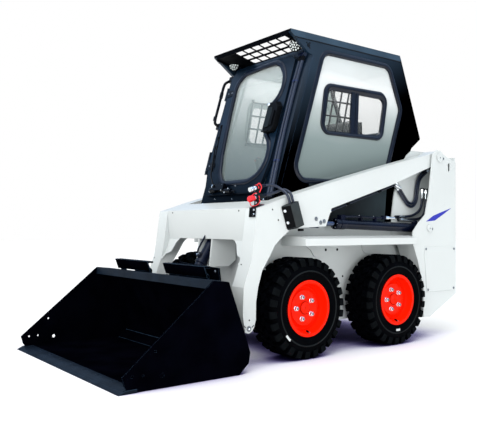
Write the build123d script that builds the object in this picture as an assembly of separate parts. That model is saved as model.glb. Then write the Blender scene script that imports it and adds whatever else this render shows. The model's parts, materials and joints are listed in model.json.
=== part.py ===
from build123d import *
import math
import os

# Compact skid steer loader. Millimetres, +Z up, forward is -Y, the machine's left is +X.
# The origin is on the ground, at the middle of the overall width and length.
# Side profiles are tables of (y, z) with y counted rearwards from the front axle.

# ---- driving dimensions -------------------------------------------------
FRONT_AXLE_Y = -142.0        # front axle, from the origin
WHEELBASE = 799.0
TYRE_R = 296.0               # 23 x 8.50-12 tyre
TYRE_W = 213.0
WHEEL_MID_X = 513.5          # middle plane of the tyre
RIM_SEAT_R = 152.4           # 12 inch rim
RIM_FLANGE_R = 166.0
RIM_HALF_W = 100.5
AXLE_R = 40.0
FIT = 0.05                   # radial clearance of pins and shafts

ARM_X0, ARM_X1 = 437.0, 545.0     # lift arm, inner and outer face
ARM_PLATE = 8.0
UPRIGHT_IN = (420.0, 428.0)       # inner plate of the rear upright
UPRIGHT_OUT = (557.0, 565.0)      # outer plate of the rear upright
LIFT_PIVOT = (1320.0, 1272.0)
LIFT_CYL_BASE = (1200.0, 767.0)
LIFT_CYL_ROD = (155.0, 800.0)
LIFT_CYL_X = 491.0
BUCKET_PIVOT = (-395.0, 205.0)
TILT_CYL_BASE = (-160.0, 840.0)
TILT_CYL_ROD = (-478.0, 345.0)
CAB_X = 411.0
CAB_WALL = 25.0
CAB_FRONT = (-130.0, 895.0)       # foot of the cab's front plane
CAB_SLOPE = 0.3174                # the plane leans back by this much per unit height
TUB_X = 380.0
BUCKET_HALF = 700.0

F = FRONT_AXLE_Y
UP = Vector(0, CAB_SLOPE, 1).normalized()          # up along the cab's front plane
FRONT_PLANE = Plane(
    origin=(0, CAB_FRONT[0] + F, CAB_FRONT[1]), x_dir=(1, 0, 0), z_dir=(0, -UP.Z, UP.Y)
)


# ---- helpers ------------------------------------------------------------
def face(points):
    """Flat face of a closed outline."""
    return make_face(Polyline(*points, close=True))


def prism(points, x0, x1):
    """Side profile of (y, z) points, carried from x0 to x1."""
    flat = Plane.YZ.offset(x0) * face([(y + F, z) for y, z in points])
    return extrude(flat, x1 - x0)


def inner_prism(points, x0, x1, wall):
    """As prism, but of the outline set in by the given wall."""
    flat = face([(y + F, z) for y, z in points])
    inner = offset(flat, amount=-wall, kind=Kind.INTERSECTION)
    return extrude(Plane.YZ.offset(x0) * inner, x1 - x0)


def block(x0, x1, y0, y1, z0, z1):
    """Box between two corners, y from the front axle."""
    return Pos((x0 + x1) / 2, (y0 + y1) / 2 + F, (z0 + z1) / 2) * Box(
        abs(x1 - x0), abs(y1 - y0), abs(z1 - z0)
    )


def rod(point, r, x0, x1):
    """Round bar across the machine at (y, z)."""
    y, z = point
    return extrude(Plane.YZ.offset(x0) * Pos(y + F, z) * Circle(r), x1 - x0)


def bar(a, b, r):
    """Round bar between two points (x, y, z), y from the front axle."""
    a = Vector(a[0], a[1] + F, a[2])
    b = Vector(b[0], b[1] + F, b[2])
    return extrude(Plane(origin=a, z_dir=(b - a)) * Circle(r), (b - a).length)


def mirrored(shape):
    return mirror(shape, about=Plane.YZ)


def on_front(points, off0, off1):
    """Solid on the cab's front plane from an outline of (x, z), between two offsets."""
    mid = (off0 + off1) / 2
    flat = face([(x, (z - CAB_FRONT[1] - mid * UP.Y) / UP.Z) for x, z in points])
    return extrude(FRONT_PLANE.offset(off0) * flat, off1 - off0)


def front_point(x, z, off):
    """Point at (x, z), at a distance in front of the cab's front plane."""
    up = (z - CAB_FRONT[1] - off * UP.Y) / UP.Z
    return (FRONT_PLANE.offset(off) * Pos(x, up, 0)).position


def hose(name, points, r):
    """Tube along straight runs joined by tangent arcs, points as (x, y, z) from the origin."""
    points = [Vector(*p) for p in points]
    runs = [b - a for a, b in zip(points, points[1:])]
    radii = []
    for a, b in zip(runs, runs[1:]):
        turn = math.radians(a.get_angle(b))
        radii.append(0.45 * min(a.length, b.length) / math.tan(turn / 2))
    path = FilletPolyline(*points, radius=radii)
    tube = sweep(Plane(origin=points[0], z_dir=runs[0]) * Circle(r), path=path)
    print(name, "length", round(path.length), "radii", [round(x) for x in radii],
          "volume", round(tube.volume / (math.pi * r * r * path.length), 4))
    return tube


def rounded(points, radii):
    """Closed outline with a radius at each corner."""
    return FilletPolyline(*points, radius=radii, close=True)


def whole(shape):
    """One solid, or a compound of the solids that don't touch."""
    solids = shape.solids()
    return solids[0] if len(solids) == 1 else Compound(children=solids)


parts = {}

# ---- wheels -------------------------------------------------------------
# (name, side, axle y)
WHEELS = [
    ("front_left", 1, 0.0),
    ("front_right", -1, 0.0),
    ("rear_left", 1, WHEELBASE),
    ("rear_right", -1, WHEELBASE),
]
# Rim half section: (distance outward from the wheel's middle plane, radius).
RIM = [
    (-99.5, RIM_SEAT_R - 5), (-99.5, RIM_FLANGE_R), (-93.5, RIM_FLANGE_R),
    (-93.5, RIM_SEAT_R), (94.5, RIM_SEAT_R), (94.5, RIM_FLANGE_R),
    (100.5, RIM_FLANGE_R), (100.5, RIM_SEAT_R - 5), (62.0, RIM_SEAT_R - 5),
    (40.0, 138.0), (46.0, 112.0), (58.0, 100.0), (58.0, 34.0), (66.0, 30.0),
    (66.0, 0.0), (-125.0, 0.0), (-125.0, AXLE_R), (10.0, AXLE_R),
    (10.0, 62.0), (34.0, 62.0), (34.0, 92.0), (52.0, 92.0), (39.0, 108.0),
    (33.0, 134.0), (40.0, RIM_SEAT_R - 5),
]
# Tyre half section: (distance from the middle plane, radius), outer skin then the hollow.
TYRE = [
    (-93.0, RIM_SEAT_R), (-93.0, 168.0), (-101.0, 178.0), (-106.5, 205.0),
    (-106.5, 236.0), (-102.0, 262.0), (-92.0, 286.0), (-78.0, TYRE_R),
    (78.0, TYRE_R), (92.0, 286.0), (102.0, 262.0), (106.5, 236.0),
    (106.5, 205.0), (101.0, 178.0), (93.0, 168.0), (93.0, RIM_SEAT_R),
    (72.0, RIM_SEAT_R), (78.0, 176.0), (92.0, 205.0), (92.0, 234.0),
    (82.0, 262.0), (68.0, 272.0), (-68.0, 272.0), (-82.0, 262.0),
    (-92.0, 234.0), (-92.0, 205.0), (-78.0, 176.0), (-72.0, RIM_SEAT_R),
]


def wheel_turn(section, side, y):
    """Section turned about the axle."""
    flat = Plane.XY * face([(x, r) for x, r in section])
    solid = revolve(flat, axis=Axis.X)
    if side < 0:
        solid = mirror(solid, about=Plane.YZ)
    return Pos(side * WHEEL_MID_X, y + F, TYRE_R) * solid


for name, side, y in WHEELS:
    rim = wheel_turn(RIM, side, y)
    parts[name + "_rim"] = whole(rim)
    parts[name + "_tyre"] = whole(wheel_turn(TYRE, side, y))

# Axle housings on the tub's sides, each bored for its wheel's shaft.
housings = None
for name, side, y in WHEELS:
    x0, x1 = side * TUB_X, side * 515.0
    tube = rod((y, TYRE_R), 56.0, min(x0, x1), max(x0, x1))
    flange_x = side * (TUB_X + 14.0)
    tube += rod((y, TYRE_R), 92.0, min(x0, flange_x), max(x0, flange_x))
    tube -= rod((y, TYRE_R), AXLE_R + FIT, min(x0, x1) - 5, max(x0, x1) + 5)
    housings = tube if housings is None else housings + tube
parts["axle_housings"] = whole(housings)

# ---- main frame ---------------------------------------------------------
TUB = [(-112, 165), (-112, 888), (92, 888), (92, 716), (1110, 716), (1110, 165)]
REAR_TUB = [(1110, 165), (1207, 165), (1505, 300), (1505, 716), (1110, 716)]
tub = prism(TUB, -TUB_X, TUB_X) - prism(
    [(-104, 173), (-104, 900), (84, 900), (84, 724), (1110, 724), (1110, 173)],
    -TUB_X + 8, TUB_X - 8,
)
rear_tub = prism(REAR_TUB, -419.5, 419.5) - prism(
    [(1110, 173), (1205.4, 173), (1520, 315.2), (1520, 724), (1110, 724)], -411.5, 411.5
)
main = tub + rear_tub
# shoulders that close the step from the front tub to the wider rear tub
for s in (1, -1):
    main += block(s * (TUB_X - 8), s * 419.5, 1110, 1118, 165, 716)
# openings for the four wheel shafts
for name, side, y in WHEELS:
    x0, x1 = side * (TUB_X - 30), side * (TUB_X + 30)
    main -= rod((y, TYRE_R), AXLE_R + 2, min(x0, x1), max(x0, x1))
# the footwell opens upwards into the cab
main -= block(-360, 360, 80, 322, 700, 900)
# lashing eyes under the tail
TIE = [(1380, 242), (1505, 299), (1540, 300), (1548, 262), (1530, 232), (1495, 224)]
TIE_BORE, TIE_R = (1512.0, 262.0), 18.0
for x0 in (-258.0, 242.0):
    main += prism(TIE, x0, x0 + 16)
main -= rod(TIE_BORE, TIE_R, -300, 300)
parts["main_frame"] = whole(main)

parts["engine_block"] = whole(block(-200, 200, 1150, 1450, 330, 850))
parts["footwell_floor"] = whole(block(-371.9, 371.9, -103.9, 330, 470, 478)
                                + block(-371.9, 371.9, 322, 330, 470, 715.9))

# ---- step rails over the wheels -----------------------------------------
RAIL = [(381, 659), (381, 716), (545, 716), (598, 702), (598, 659)]       # (x, z)
RAIL_IN = [(386, 650), (386, 711), (544.3, 711), (593, 698), (593, 650)]
rails = None
for s in (1, -1):
    outer = extrude(Plane.XZ.offset(-(-12 + F)) * face(RAIL), -1030)
    inner = extrude(Plane.XZ.offset(-(-7 + F)) * face(RAIL_IN), -1020)
    rail = outer - inner
    rail = rail if s > 0 else mirrored(rail)
    rails = rail if rails is None else rails + rail
parts["step_rails"] = whole(rails)

# ---- rear uprights ------------------------------------------------------
OUT_PLATE = [
    (1245, 1297), (1231, 1198), (1201, 1015), (1159, 862), (1084, 804), (1025, 746),
    (1021, 718), (1021, 659), (1075, 542), (1136, 352), (1135, 149), (1207, 146),
    (1515, 293), (1518, 1252), (1402, 1287), (1294, 1328),
]
IN_PLATE = [
    (965, 717), (965, 859), (992, 1013), (1092, 1242), (1134, 1292), (1185, 1326),
    (1413, 1325), (1510, 1290), (1510, 300), (1207, 165), (1142, 165), (1142, 352),
    (1081, 542), (1027, 659), (1027, 717),
]
uprights = None
for s in (1, -1):
    up = prism(OUT_PLATE, *UPRIGHT_OUT) + prism(IN_PLATE, *UPRIGHT_IN)
    # rear web, foot web, and the shelf over the slot behind the arm
    up += block(UPRIGHT_IN[0], UPRIGHT_OUT[1], 1502, 1510, 300, 1285)
    up += prism([(1135, 149), (1207, 146), (1515, 293), (1515, 301), (1205, 154), (1135, 157)],
                UPRIGHT_IN[0], UPRIGHT_OUT[1])
    up += prism([(1402, 1287), (1510, 1254), (1510, 1246), (1402, 1279)],
                UPRIGHT_IN[0], UPRIGHT_OUT[1])
    up += prism([(1141, 165), (1141, 352), (1081, 542), (1027, 659), (1027, 667), (1035, 667),
                 (1089, 546), (1149, 354), (1149, 165)], UPRIGHT_IN[0], UPRIGHT_OUT[1])
    # bosses that carry the pins
    for p, r in ((LIFT_PIVOT, 52.0), (LIFT_CYL_BASE, 44.0)):
        up += rod(p, r, UPRIGHT_IN[0], UPRIGHT_IN[1] + 4)
        up += rod(p, r, UPRIGHT_OUT[0] - 4, UPRIGHT_OUT[1])
    up -= rod(LIFT_PIVOT, 25 + FIT, 400, 600)
    up -= rod(LIFT_CYL_BASE, 20 + FIT, 400, 600)
    # oval hand slot
    up -= extrude(Plane.YZ.offset(550) * Pos(1433 + F, 1210) * SlotOverall(64, 26, rotation=90), 30)
    up = up if s > 0 else mirrored(up)
    uprights = up if uprights is None else uprights + up
pins = None
for s in (1, -1):
    for p, r in ((LIFT_PIVOT, 25.0), (LIFT_CYL_BASE, 20.0)):
        pin = rod(p, r, 420, 571) if s > 0 else rod(p, r, -571, -420)
        pins = pin if pins is None else pins + pin
parts["pivot_pins"] = whole(pins)

# ---- lift arms ----------------------------------------------------------
ARM = [
    (1258, 1299), (785, 1185), (240, 1044), (148, 1018), (-112, 947), (-308, 885),
    (-333, 878), (-353, 726), (-377, 578), (-430, 435), (-435, 281), (-426, 221),
    (-418, 185), (-395, 178), (-372, 187),
    (-356, 208), (-343, 251), (-342, 349), (-328, 429), (-299, 522), (-241, 606),
    (-204, 666), (-169, 697), (-135, 723), (-79, 763), (205, 777), (254, 888),
    (819, 1056), (1248, 1204), (1300, 1216), (1358, 1232), (1376, 1272), (1358, 1310),
    (1310, 1322),
]
OPEN_KNEE = [(-70, 700), (-40, 790), (60, 900), (235, 905), (262, 880), (200, 700)]


# Hose stubs under the arm, each in line with its hose: (foot, tip).
HOSE_X, HOSE_R = 444.0, 9.0
ARM_STUBS = [((985, 1061), (937, 1108.2)), ((999, 1076), (957, 1117.65))]


def arm_side(s):
    arm = prism(ARM, ARM_X0, ARM_X1) - inner_prism(
        ARM, ARM_X0 + ARM_PLATE, ARM_X1 - ARM_PLATE, ARM_PLATE
    )
    # the knee is open below, where the lift cylinder's rod comes in
    arm -= prism(OPEN_KNEE, ARM_X0 + ARM_PLATE, ARM_X1 - ARM_PLATE)
    for foot, tip in ARM_STUBS:
        arm += bar((HOSE_X, *foot), (HOSE_X, *tip), 8.0)
    arm += rod(LIFT_PIVOT, 45.0, ARM_X0 - 2, ARM_X1 + 2)
    arm += rod(BUCKET_PIVOT, 26.0, ARM_X0, ARM_X1)
    arm -= rod(LIFT_PIVOT, 25 + FIT, 400, 600)
    arm -= rod(BUCKET_PIVOT, 17 + FIT, 400, 600)
    return arm if s > 0 else mirrored(arm)


parts["left_lift_arm"] = whole(arm_side(1))
parts["right_lift_arm"] = whole(arm_side(-1))

# Crossmember between the arms: top plate, inclined front plate with its cut-out,
# and two ears that carry the tilt cylinder.
FRONT_FACE = [(-335, 880), (-319, 690), (-350, 595), (-380, 558)]
cross = prism(
    [(-335, 880), (-319, 690), (-350, 595), (-385, 556), (-378, 552), (-342, 592),
     (-310, 690), (-326, 872), (-165, 922), (-167, 930)],
    -ARM_X0 + 0.1, ARM_X0 - 0.1,
)
# cut-out, seen from the front: (x, z), then the radius at that corner
CUT = [(-300, 696, 18), (-337, 668, 30), (-372, 603, 26), (-428, 589, 2), (-428, 530, 2)]
CUT += [(-x, z, r) for x, z, r in reversed(CUT)]
cut_line = rounded([(x, z) for x, z, r in CUT], [r for x, z, r in CUT])
cross -= extrude(Plane.XZ.offset(-(-430 + F)) * make_face(cut_line), -140)
EAR = [
    (-326, 872), (-200, 911), (-140, 878), (-133, 850), (-133, 825), (-150, 808), (-192, 740),
    (-240, 630), (-292, 530), (-318, 510), (-337, 520), (-319, 690),
]
for x0 in (66.0, -78.0):
    cross += prism(EAR, x0, x0 + 12)
cross -= rod(TILT_CYL_BASE, 17 + FIT, -120, 120)
# closing webs at the arms
for s in (1, -1):
    x0, x1 = sorted((s * (ARM_X0 - 0.1), s * (ARM_X0 - 8.1)))
    cross += prism([(-335, 880), (-319, 690), (-350, 595), (-342, 592), (-300, 690), (-167, 840), (-167, 930)], x0, x1)
parts["front_crossmember"] = whole(cross)

parts["tilt_base_pin"] = whole(rod(TILT_CYL_BASE, 17.0, -84, 84))
parts["bucket_pins"] = whole(rod(BUCKET_PIVOT, 17.0, 380, 549) + rod(BUCKET_PIVOT, 17.0, -549, -380))

# Cover over the hoses on the left arm's side, sloped like the arm. Its foot, its length
# up the slope, and its section: (across the slope, out from the arm).
GUARD_FOOT, GUARD_LEAN, GUARD_LEN = (-110.0, 756.0), 19.0, 144.0
GUARD = [(0, 0), (33.5, 46), (97.5, 46), (97.5, 0)]
GUARD_POCKET, GUARD_FLOOR = [(30, 2), (44, 41), (93, 41), (93, 2)], 104.0
lean = math.radians(GUARD_LEAN)
guard_plane = Plane(
    origin=(ARM_X1 + 0.05, GUARD_FOOT[0] + F, GUARD_FOOT[1]),
    x_dir=(0, math.cos(lean), math.sin(lean)), z_dir=(0, -math.sin(lean), math.cos(lean)),
)
guard = extrude(guard_plane * face([(a, -x) for a, x in GUARD]), GUARD_LEN)
guard -= extrude(guard_plane.offset(GUARD_FLOOR) * face([(a, -x) for a, x in GUARD_POCKET]), 60)
parts["hose_guard"] = whole(guard)


def guard_point(across, up, out):
    return (guard_plane.offset(up) * Pos(across, -out, 0)).position


# Auxiliary couplers over the left arm's front corner: (y, z) of the front and rear ends.
COUPLER_X, COUPLER_R = 475.0, 13.0
COUPLERS = [((-336, 984), (-254, 1006)), ((-340, 929), (-248, 951))]
coup = prism([(-286, 893), (-279, 895.2), (-279, 1010), (-286, 1010)], 462, 488)
coup += prism([(-334, 878.2), (-286, 893.2), (-286, 897), (-340, 880.5)], 482, 540)
coup += prism([(-286, 893), (-279, 895.2), (-279, 903), (-286, 901)], 462, 540)
coup += prism([(-334.2, 879), (-340, 881), (-345, 828), (-340.6, 828)], 482, 540)
for a, b in COUPLERS:
    coup += bar((COUPLER_X, *a), (COUPLER_X, *b), COUPLER_R)
parts["aux_couplers"] = whole(coup)

# ---- cylinders ----------------------------------------------------------
def along(a, b, d):
    """Point at distance d from a towards b."""
    n = math.hypot(b[0] - a[0], b[1] - a[1])
    return (a[0] + (b[0] - a[0]) * d / n, a[1] + (b[1] - a[1]) * d / n)


def cylinder(base, eye, x, barrel_r, rod_r, barrel_len, piston_at, eye_r, eye_half, pin_r, base_half):
    """Barrel with its base eye, and rod with its piston and eye, drawn at rest."""
    n = math.hypot(eye[0] - base[0], eye[1] - base[1])

    def at(d):
        return (x, *along(base, eye, d))

    barrel = bar(at(eye_r + 4), at(barrel_len), barrel_r)
    barrel += bar(at(eye_r * 0.5), at(eye_r + 4), min(eye_half, barrel_r) * 0.8)
    barrel += rod(base, eye_r, x - base_half, x + base_half)
    barrel -= rod(base, pin_r + FIT, x - 200, x + 200)
    barrel -= bar(at(eye_r + 24), at(barrel_len - 40), barrel_r - 7)
    barrel -= bar(at(barrel_len - 45), at(barrel_len + 5), rod_r + FIT)
    stem = bar(at(piston_at), at(n - eye_r * 0.6), rod_r)
    stem += bar(at(piston_at), at(piston_at + 38), barrel_r - 7.3)
    stem += rod(eye, eye_r, x - eye_half, x + eye_half)
    return barrel, stem


lift_barrel, lift_rod = cylinder(
    LIFT_CYL_BASE, LIFT_CYL_ROD, LIFT_CYL_X, 31.0, 17.0, 860.0, 74.0, 34.0, 28.0, 20.0, 40.0
)
parts["left_lift_cylinder"] = whole(lift_barrel)
parts["left_lift_rod"] = whole(lift_rod)
parts["right_lift_cylinder"] = whole(mirrored(lift_barrel))
parts["right_lift_rod"] = whole(mirrored(lift_rod))
tilt_barrel, tilt_rod = cylinder(
    TILT_CYL_BASE, TILT_CYL_ROD, 0.0, 34.0, 19.0, 440.0, 125.0, 30.0, 26.0, 17.0, 40.0
)
parts["tilt_cylinder"] = whole(tilt_barrel)
parts["tilt_rod"] = whole(tilt_rod)

# ---- quick attach -------------------------------------------------------
ATTACH = [(-632.9, 470), (-523.3, 181), (-489, 194), (-598.5, 483)]
att = prism(ATTACH, -560, 560)
att -= block(-240, 240, -640, -480, 235, 400)
for x0 in (382.0, -426.0):
    att += prism([(-560, 372), (-488, 188), (-422, 178), (-384, 178), (-368, 205), (-384, 232), (-440, 300), (-530, 400)],
                 x0 + 1, x0 + 43)
for x0 in (52.0, -68.0):
    att += prism([(-596, 470), (-540, 330), (-500, 300), (-455, 318), (-450, 360), (-490, 410), (-560, 480)], x0, x0 + 16)
# lock lever's guard plate, on the left half only
att += extrude(Plane.XZ.offset(-(-606 + F)) * face([(150, 440), (150, 567), (548, 549), (560, 490), (560, 440)]), -12)
att -= prism([(-620, 440), (-620, 480), (-612, 440)], 100, 600)
att -= rod(BUCKET_PIVOT, 17 + FIT, -600, 600)
parts["quick_attach"] = whole(att)

# ---- bucket -------------------------------------------------------------
SHELL = [
    (-1170, 2), (-570, 2), (-510, 55), (-500, 110), (-524, 181), (-640, 487), (-737, 497),
    (-737, 455), (-728, 455), (-728, 486), (-646, 478), (-534, 181), (-510, 110), (-519, 60), (-574, 12), (-1170, 12),
]
parts["bucket_shell"] = whole(prism(SHELL, -684.9, 684.9))
SIDE = [(-1246, 79), (-1233, 35), (-1210, 2), (-570, 2), (-510, 55), (-500, 110), (-524, 181), (-640, 487), (-737, 497)]
sides = prism(SIDE, 685, 695) + prism(SIDE, -695, -685)
for y, z, r in ((-1071, 179, 6.5), (-1195, 75, 6.5), (-1138, 76, 6), (-1034, 62, 11)):
    sides -= rod((y, z), r, -720, 720)
parts["bucket_sides"] = whole(sides)
parts["cutting_edge"] = whole(prism([(-1268, 0), (-1170, 0), (-1170, 18), (-1230, 18)], -BUCKET_HALF, BUCKET_HALF)
                              - block(684.9, 695.1, -1240, -1165, 2, 30) - block(-695.1, -684.9, -1240, -1165, 2, 30))
# Steps on the lip: face plate leaning out at its top, with a narrow leg and a broad one.
# Start of each step across the machine; its width; legs as (from, to) along it.
STEP_STARTS, STEP_W, STEP_LEGS = (-525.0, 92.0), 433.0, [(30.0, 98.0), (222.0, 433.0)]
STEP_FACE = [(-683, 560), (-660, 497), (-653, 497), (-672, 549), (-640, 549), (-640, 560)]
STEP_LEG = [(-664, 508), (-652, 488.5), (-646, 488), (-646, 508), (-657, 520)]
steps = None
for x0 in STEP_STARTS:
    step = prism(STEP_FACE, x0, x0 + STEP_W)
    for a, b in STEP_LEGS:
        step += prism(STEP_LEG, x0 + a, x0 + b)
    steps = step if steps is None else steps + step
parts["bucket_steps"] = whole(steps)

# ---- cab ----------------------------------------------------------------
CAB = [
    (-130, 895), (182, 1878), (216, 1985), (1081, 1985), (1303, 1418), (1206, 1347),
    (1050, 1100), (1000, 724), (105, 724), (95, 895),
]
CAB_SIDE = [
    (-130, 895), (182, 1878), (33, 1985), (1081, 1985), (1303, 1418), (1206, 1347),
    (1050, 1100), (1000, 724), (105, 724), (95, 895),
]
# side glass opening (y, z) with corner radii
SIDE_OPENING = [((326, 1895), 75), ((955, 1895), 75), ((1078, 1610), 70), ((893, 1074), 60), ((60, 1074), 80)]
# The cab's front corners are cut back: (x, depth behind the front plane).
CHAMFER = [(352.0, 0.1), (386.0, 26.0), (411.0, 45.0)]
UP_ALONG = Plane(origin=FRONT_PLANE.origin, x_dir=(1, 0, 0), z_dir=UP)      # its y points backwards


def up_front(points, s0, s1):
    """Solid of a section (x, depth behind the front plane), from s0 to s1 up the plane."""
    return extrude(UP_ALONG.offset(s0) * face(points), s1 - s0)


def opening_face(table):
    pts = [(y + F, z) for (y, z), r in table]
    return make_face(rounded(pts, [r for p, r in table]))


def side_panel(s):
    panel = prism(CAB_SIDE, CAB_X - CAB_WALL, CAB_X)
    panel -= up_front([(CHAMFER[1][0] - 0.1, -60), CHAMFER[1], (411.1, CHAMFER[2][1]), (430, -60)], -100, 1031)
    panel -= extrude(Plane.YZ.offset(CAB_X - CAB_WALL - 5) * opening_face(SIDE_OPENING), CAB_WALL + 10)
    return panel if s > 0 else mirrored(panel)


parts["cab_left_side"] = whole(side_panel(1))
parts["cab_right_side"] = whole(side_panel(-1))
# Roof: a flat top with side rails running forward, and a sheet dropping to the grille in front.
ROOF_X = CAB_X - CAB_WALL - 0.2
roof = prism([(190, 1985.1), (190, 2000), (1075, 2000), (1081, 1985.1)], -CAB_X, CAB_X)
roof -= block(-ROOF_X + 14, ROOF_X - 14, 100, 430, 1980, 2010)
roof += prism([(290.1, 1916), (290.1, 1920.5), (424, 1990), (440, 1990), (440, 1985.2), (433, 1985.2)], -ROOF_X, ROOF_X)
parts["cab_roof"] = whole(roof)

glass = None
for s in (1, -1):
    g = extrude(Plane.YZ.offset(CAB_X - 15) * offset(opening_face(SIDE_OPENING), amount=-0.1, kind=Kind.INTERSECTION), 6)
    g = g if s > 0 else mirrored(g)
    glass = g if glass is None else glass + g
parts["side_windows"] = whole(glass)

INNER_X = CAB_X - CAB_WALL - 0.1
wrap = prism(CAB, -INNER_X, INNER_X) - inner_prism(CAB, -INNER_X - 5, INNER_X + 5, 20)
rear = wrap & block(-500, 500, 1002, 1400, 700, 1984.9)
REAR_NORMAL = Vector(0, 1985 - 1418, 1303 - 1081).normalized()
rear_plane = Plane(origin=(0, 1192 + F, 1701.5), x_dir=(1, 0, 0), z_dir=REAR_NORMAL)
rear_cut = extrude(rear_plane.offset(-40) * RectangleRounded(600, 430, 50), 80)
rear -= rear_cut
parts["cab_rear_frame"] = whole(rear)
parts["rear_window"] = whole(extrude(rear_plane.offset(-13) * RectangleRounded(599.8, 429.8, 49.9), 6))

front = up_front([(-INNER_X, 45), (-INNER_X, 26), (-352, 0.1), (352, 0.1), (INNER_X, 26), (INNER_X, 45)], -100, 1200)
front = front & block(-500, 500, -300, 500, 895.1, 1912)
DOORWAY = [(-300, 1010), (300, 1010), (322, 1200), (322, 1820), (280, 1862), (-280, 1862), (-322, 1820), (-322, 1200)]
front -= on_front(DOORWAY, -60, 20)
# Visor: upright front strip and side rails, with a perforated plate sloping back under them.
visor = block(-410.9, 410.9, 32, 38, 1985.5, 2000) + block(-ROOF_X, ROOF_X, 32, 38, 1970, 1986)
for s in (1, -1):
    visor += block(*sorted((s * (ROOF_X - 14), s * 410.9)), 37, 189.9, 1985.5, 2000)
visor += prism([(37, 1970.2), (37, 1974.2), (250, 1920), (289.9, 1920), (289.9, 1916), (250, 1916)], -ROOF_X, ROOF_X)
for i in range(6):
    for j in range(4):
        x0 = 270 - i * 88
        y0 = 41 + j * 62.5
        visor -= block(x0, x0 + 76, y0, y0 + 46, 1900, 1984)
LAMP_AXIS = Vector(0.40, -0.91, -0.08).normalized()
lamps = None
for s in (1, -1):
    a = Vector(s * 340, 138 if s > 0 else 162, 1928 if s > 0 else 1940)
    n = LAMP_AXIS

    def along(t):
        p = a + n * t
        return (p.X, p.Y, p.Z)

    lamp = bar(along(0), along(-34), 30) + bar(along(6), along(-6), 41)
    visor -= bar(along(12), along(-12), 43.5)
    visor -= bar(along(0), along(-50), 30.1)
    lamps = lamp if lamps is None else lamps + lamp
parts["visor_grille"] = whole(visor)
parts["work_lights"] = whole(lamps)

# ---- cab door -----------------------------------------------------------
DOOR = [(-285, 985), (290, 985), (338, 1200), (338, 1840), (296, 1874), (-300, 1874), (-338, 1840), (-338, 1200)]
DOOR_GLASS = [
    (265, 1750), (208, 1821), (154, 1850), (-1, 1847), (-188, 1831), (-248, 1768), (-232, 1529),
    (-201, 1260), (-171, 1145), (-120, 1065), (157, 1066), (253, 1108), (293, 1192), (290, 1264),
    (264, 1314), (212, 1369), (195, 1428), (194, 1545), (265, 1617), (278, 1681),
]
door = on_front(DOOR, 6, 30) - on_front(DOOR_GLASS, 0, 36)
DOOR_HINGE_X, DOOR_HINGE_OFF = -352.0, 26.0
DOOR_KNUCKLES = [1165.0, 1690.0]        # z of each hinge's foot


def knuckle(z, length, r, x=DOOR_HINGE_X):
    """Round bar along the door's hinge line."""
    up = (z - CAB_FRONT[1] - DOOR_HINGE_OFF * UP.Y) / UP.Z
    at = FRONT_PLANE.offset(DOOR_HINGE_OFF) * Pos(x, up, 0)
    return extrude(Plane(origin=at.position, z_dir=UP) * Circle(r), length)


hinge_lugs = None
for z0 in DOOR_KNUCKLES:
    door += on_front([(-352, z0 + 1), (-330, z0 + 1), (-330, z0 + 56), (-352, z0 + 56)], 22, 29.9)
    door += knuckle(z0 + 1, 57, 9)
    door -= knuckle(z0 - 5, 80, 4.5 + FIT)
    lug = knuckle(z0 - 16, 92, 4.5) + knuckle(z0 - 16, 15, 9) + knuckle(z0 + 61, 15, 9)
    for za in (z0 - 20.2, z0 + 54.3):
        lug += on_front([(-360, za), (-344, za), (-344, za + 13), (-360, za + 13)], -5, 24)
    hinge_lugs = lug if hinge_lugs is None else hinge_lugs + lug
parts["cab_front_frame"] = whole(front + hinge_lugs)
parts["cab_door"] = whole(door)
parts["door_glass"] = whole(on_front(DOOR_GLASS, 15, 21))

# ---- hoses --------------------------------------------------------------
def side_points(points, x=HOSE_X):
    """Side route of (y, z) points at one x, as points from the origin."""
    return [(x, y + F, z) for y, z in points]


# Between the uprights' plates: from the inner plate down and forward to the arm's stubs.
LOOP_HOSES = [
    [(985, 1061), (1045, 1002), (1112, 930), (1172, 915), (1222, 960), (1230, 1048), (1262, 1142), (1363, 1190)],
    [(999, 1076), (1059, 1016.5), (1121, 950), (1166, 939), (1203, 972), (1210, 1052), (1247, 1157), (1354, 1208)],
]
# From the elbows on the inner plate to its lower unions.
FEED_HOSES = [
    [(1284, 988), (1281, 940), (1252, 894), (1186, 860), (1110, 849), (1035, 847)],
    [(1325, 985), (1322, 920), (1303, 866), (1258, 837), (1180, 829), (1065, 827)],
]
BANJO_R, BANJO_END = HOSE_R + 2.0, HOSE_R + 1.0     # cross fitting at each union
loops = feeds = unions = None
for i, route in enumerate(LOOP_HOSES):
    tube = hose("loop hose", side_points(route), HOSE_R)
    loops = tube if loops is None else loops + tube
    (y0, z0), (y1, z1) = route[-2], route[-1]
    n = math.hypot(y1 - y0, z1 - z0)
    tip = (y1 + (y1 - y0) * 26 / n, z1 + (z1 - z0) * 26 / n)
    union = bar((HOSE_X, y1, z1), (HOSE_X, *tip), HOSE_R) + rod(tip, BANJO_R, UPRIGHT_IN[1] + 0.05, HOSE_X + BANJO_END)
    unions = union if unions is None else unions + union
for route, top in zip(FEED_HOSES, (1049.0, 1050.0)):
    tube = hose("feed hose", side_points(route), HOSE_R)
    feeds = tube if feeds is None else feeds + tube
    (y0, z0), (y1, z1) = route[0], route[1]
    n = math.hypot(y1 - y0, z1 - z0)
    elbow = (y0 - (y1 - y0) * 60 / n, z0 - (z1 - z0) * 60 / n)
    unions += bar((HOSE_X, y0, z0), (HOSE_X, *elbow), HOSE_R) + rod(elbow, BANJO_R, UPRIGHT_IN[1] + 0.05, HOSE_X + BANJO_END)
    (y0, z0), (y1, z1) = route[-2], route[-1]
    n = math.hypot(y1 - y0, z1 - z0)
    tip = (y1 + (y1 - y0) * 34 / n, z1 + (z1 - z0) * 34 / n)
    unions += bar((HOSE_X, y1, z1), (HOSE_X, *tip), HOSE_R) + rod(tip, BANJO_R, UPRIGHT_IN[1] + 0.05, HOSE_X + BANJO_END)
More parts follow.
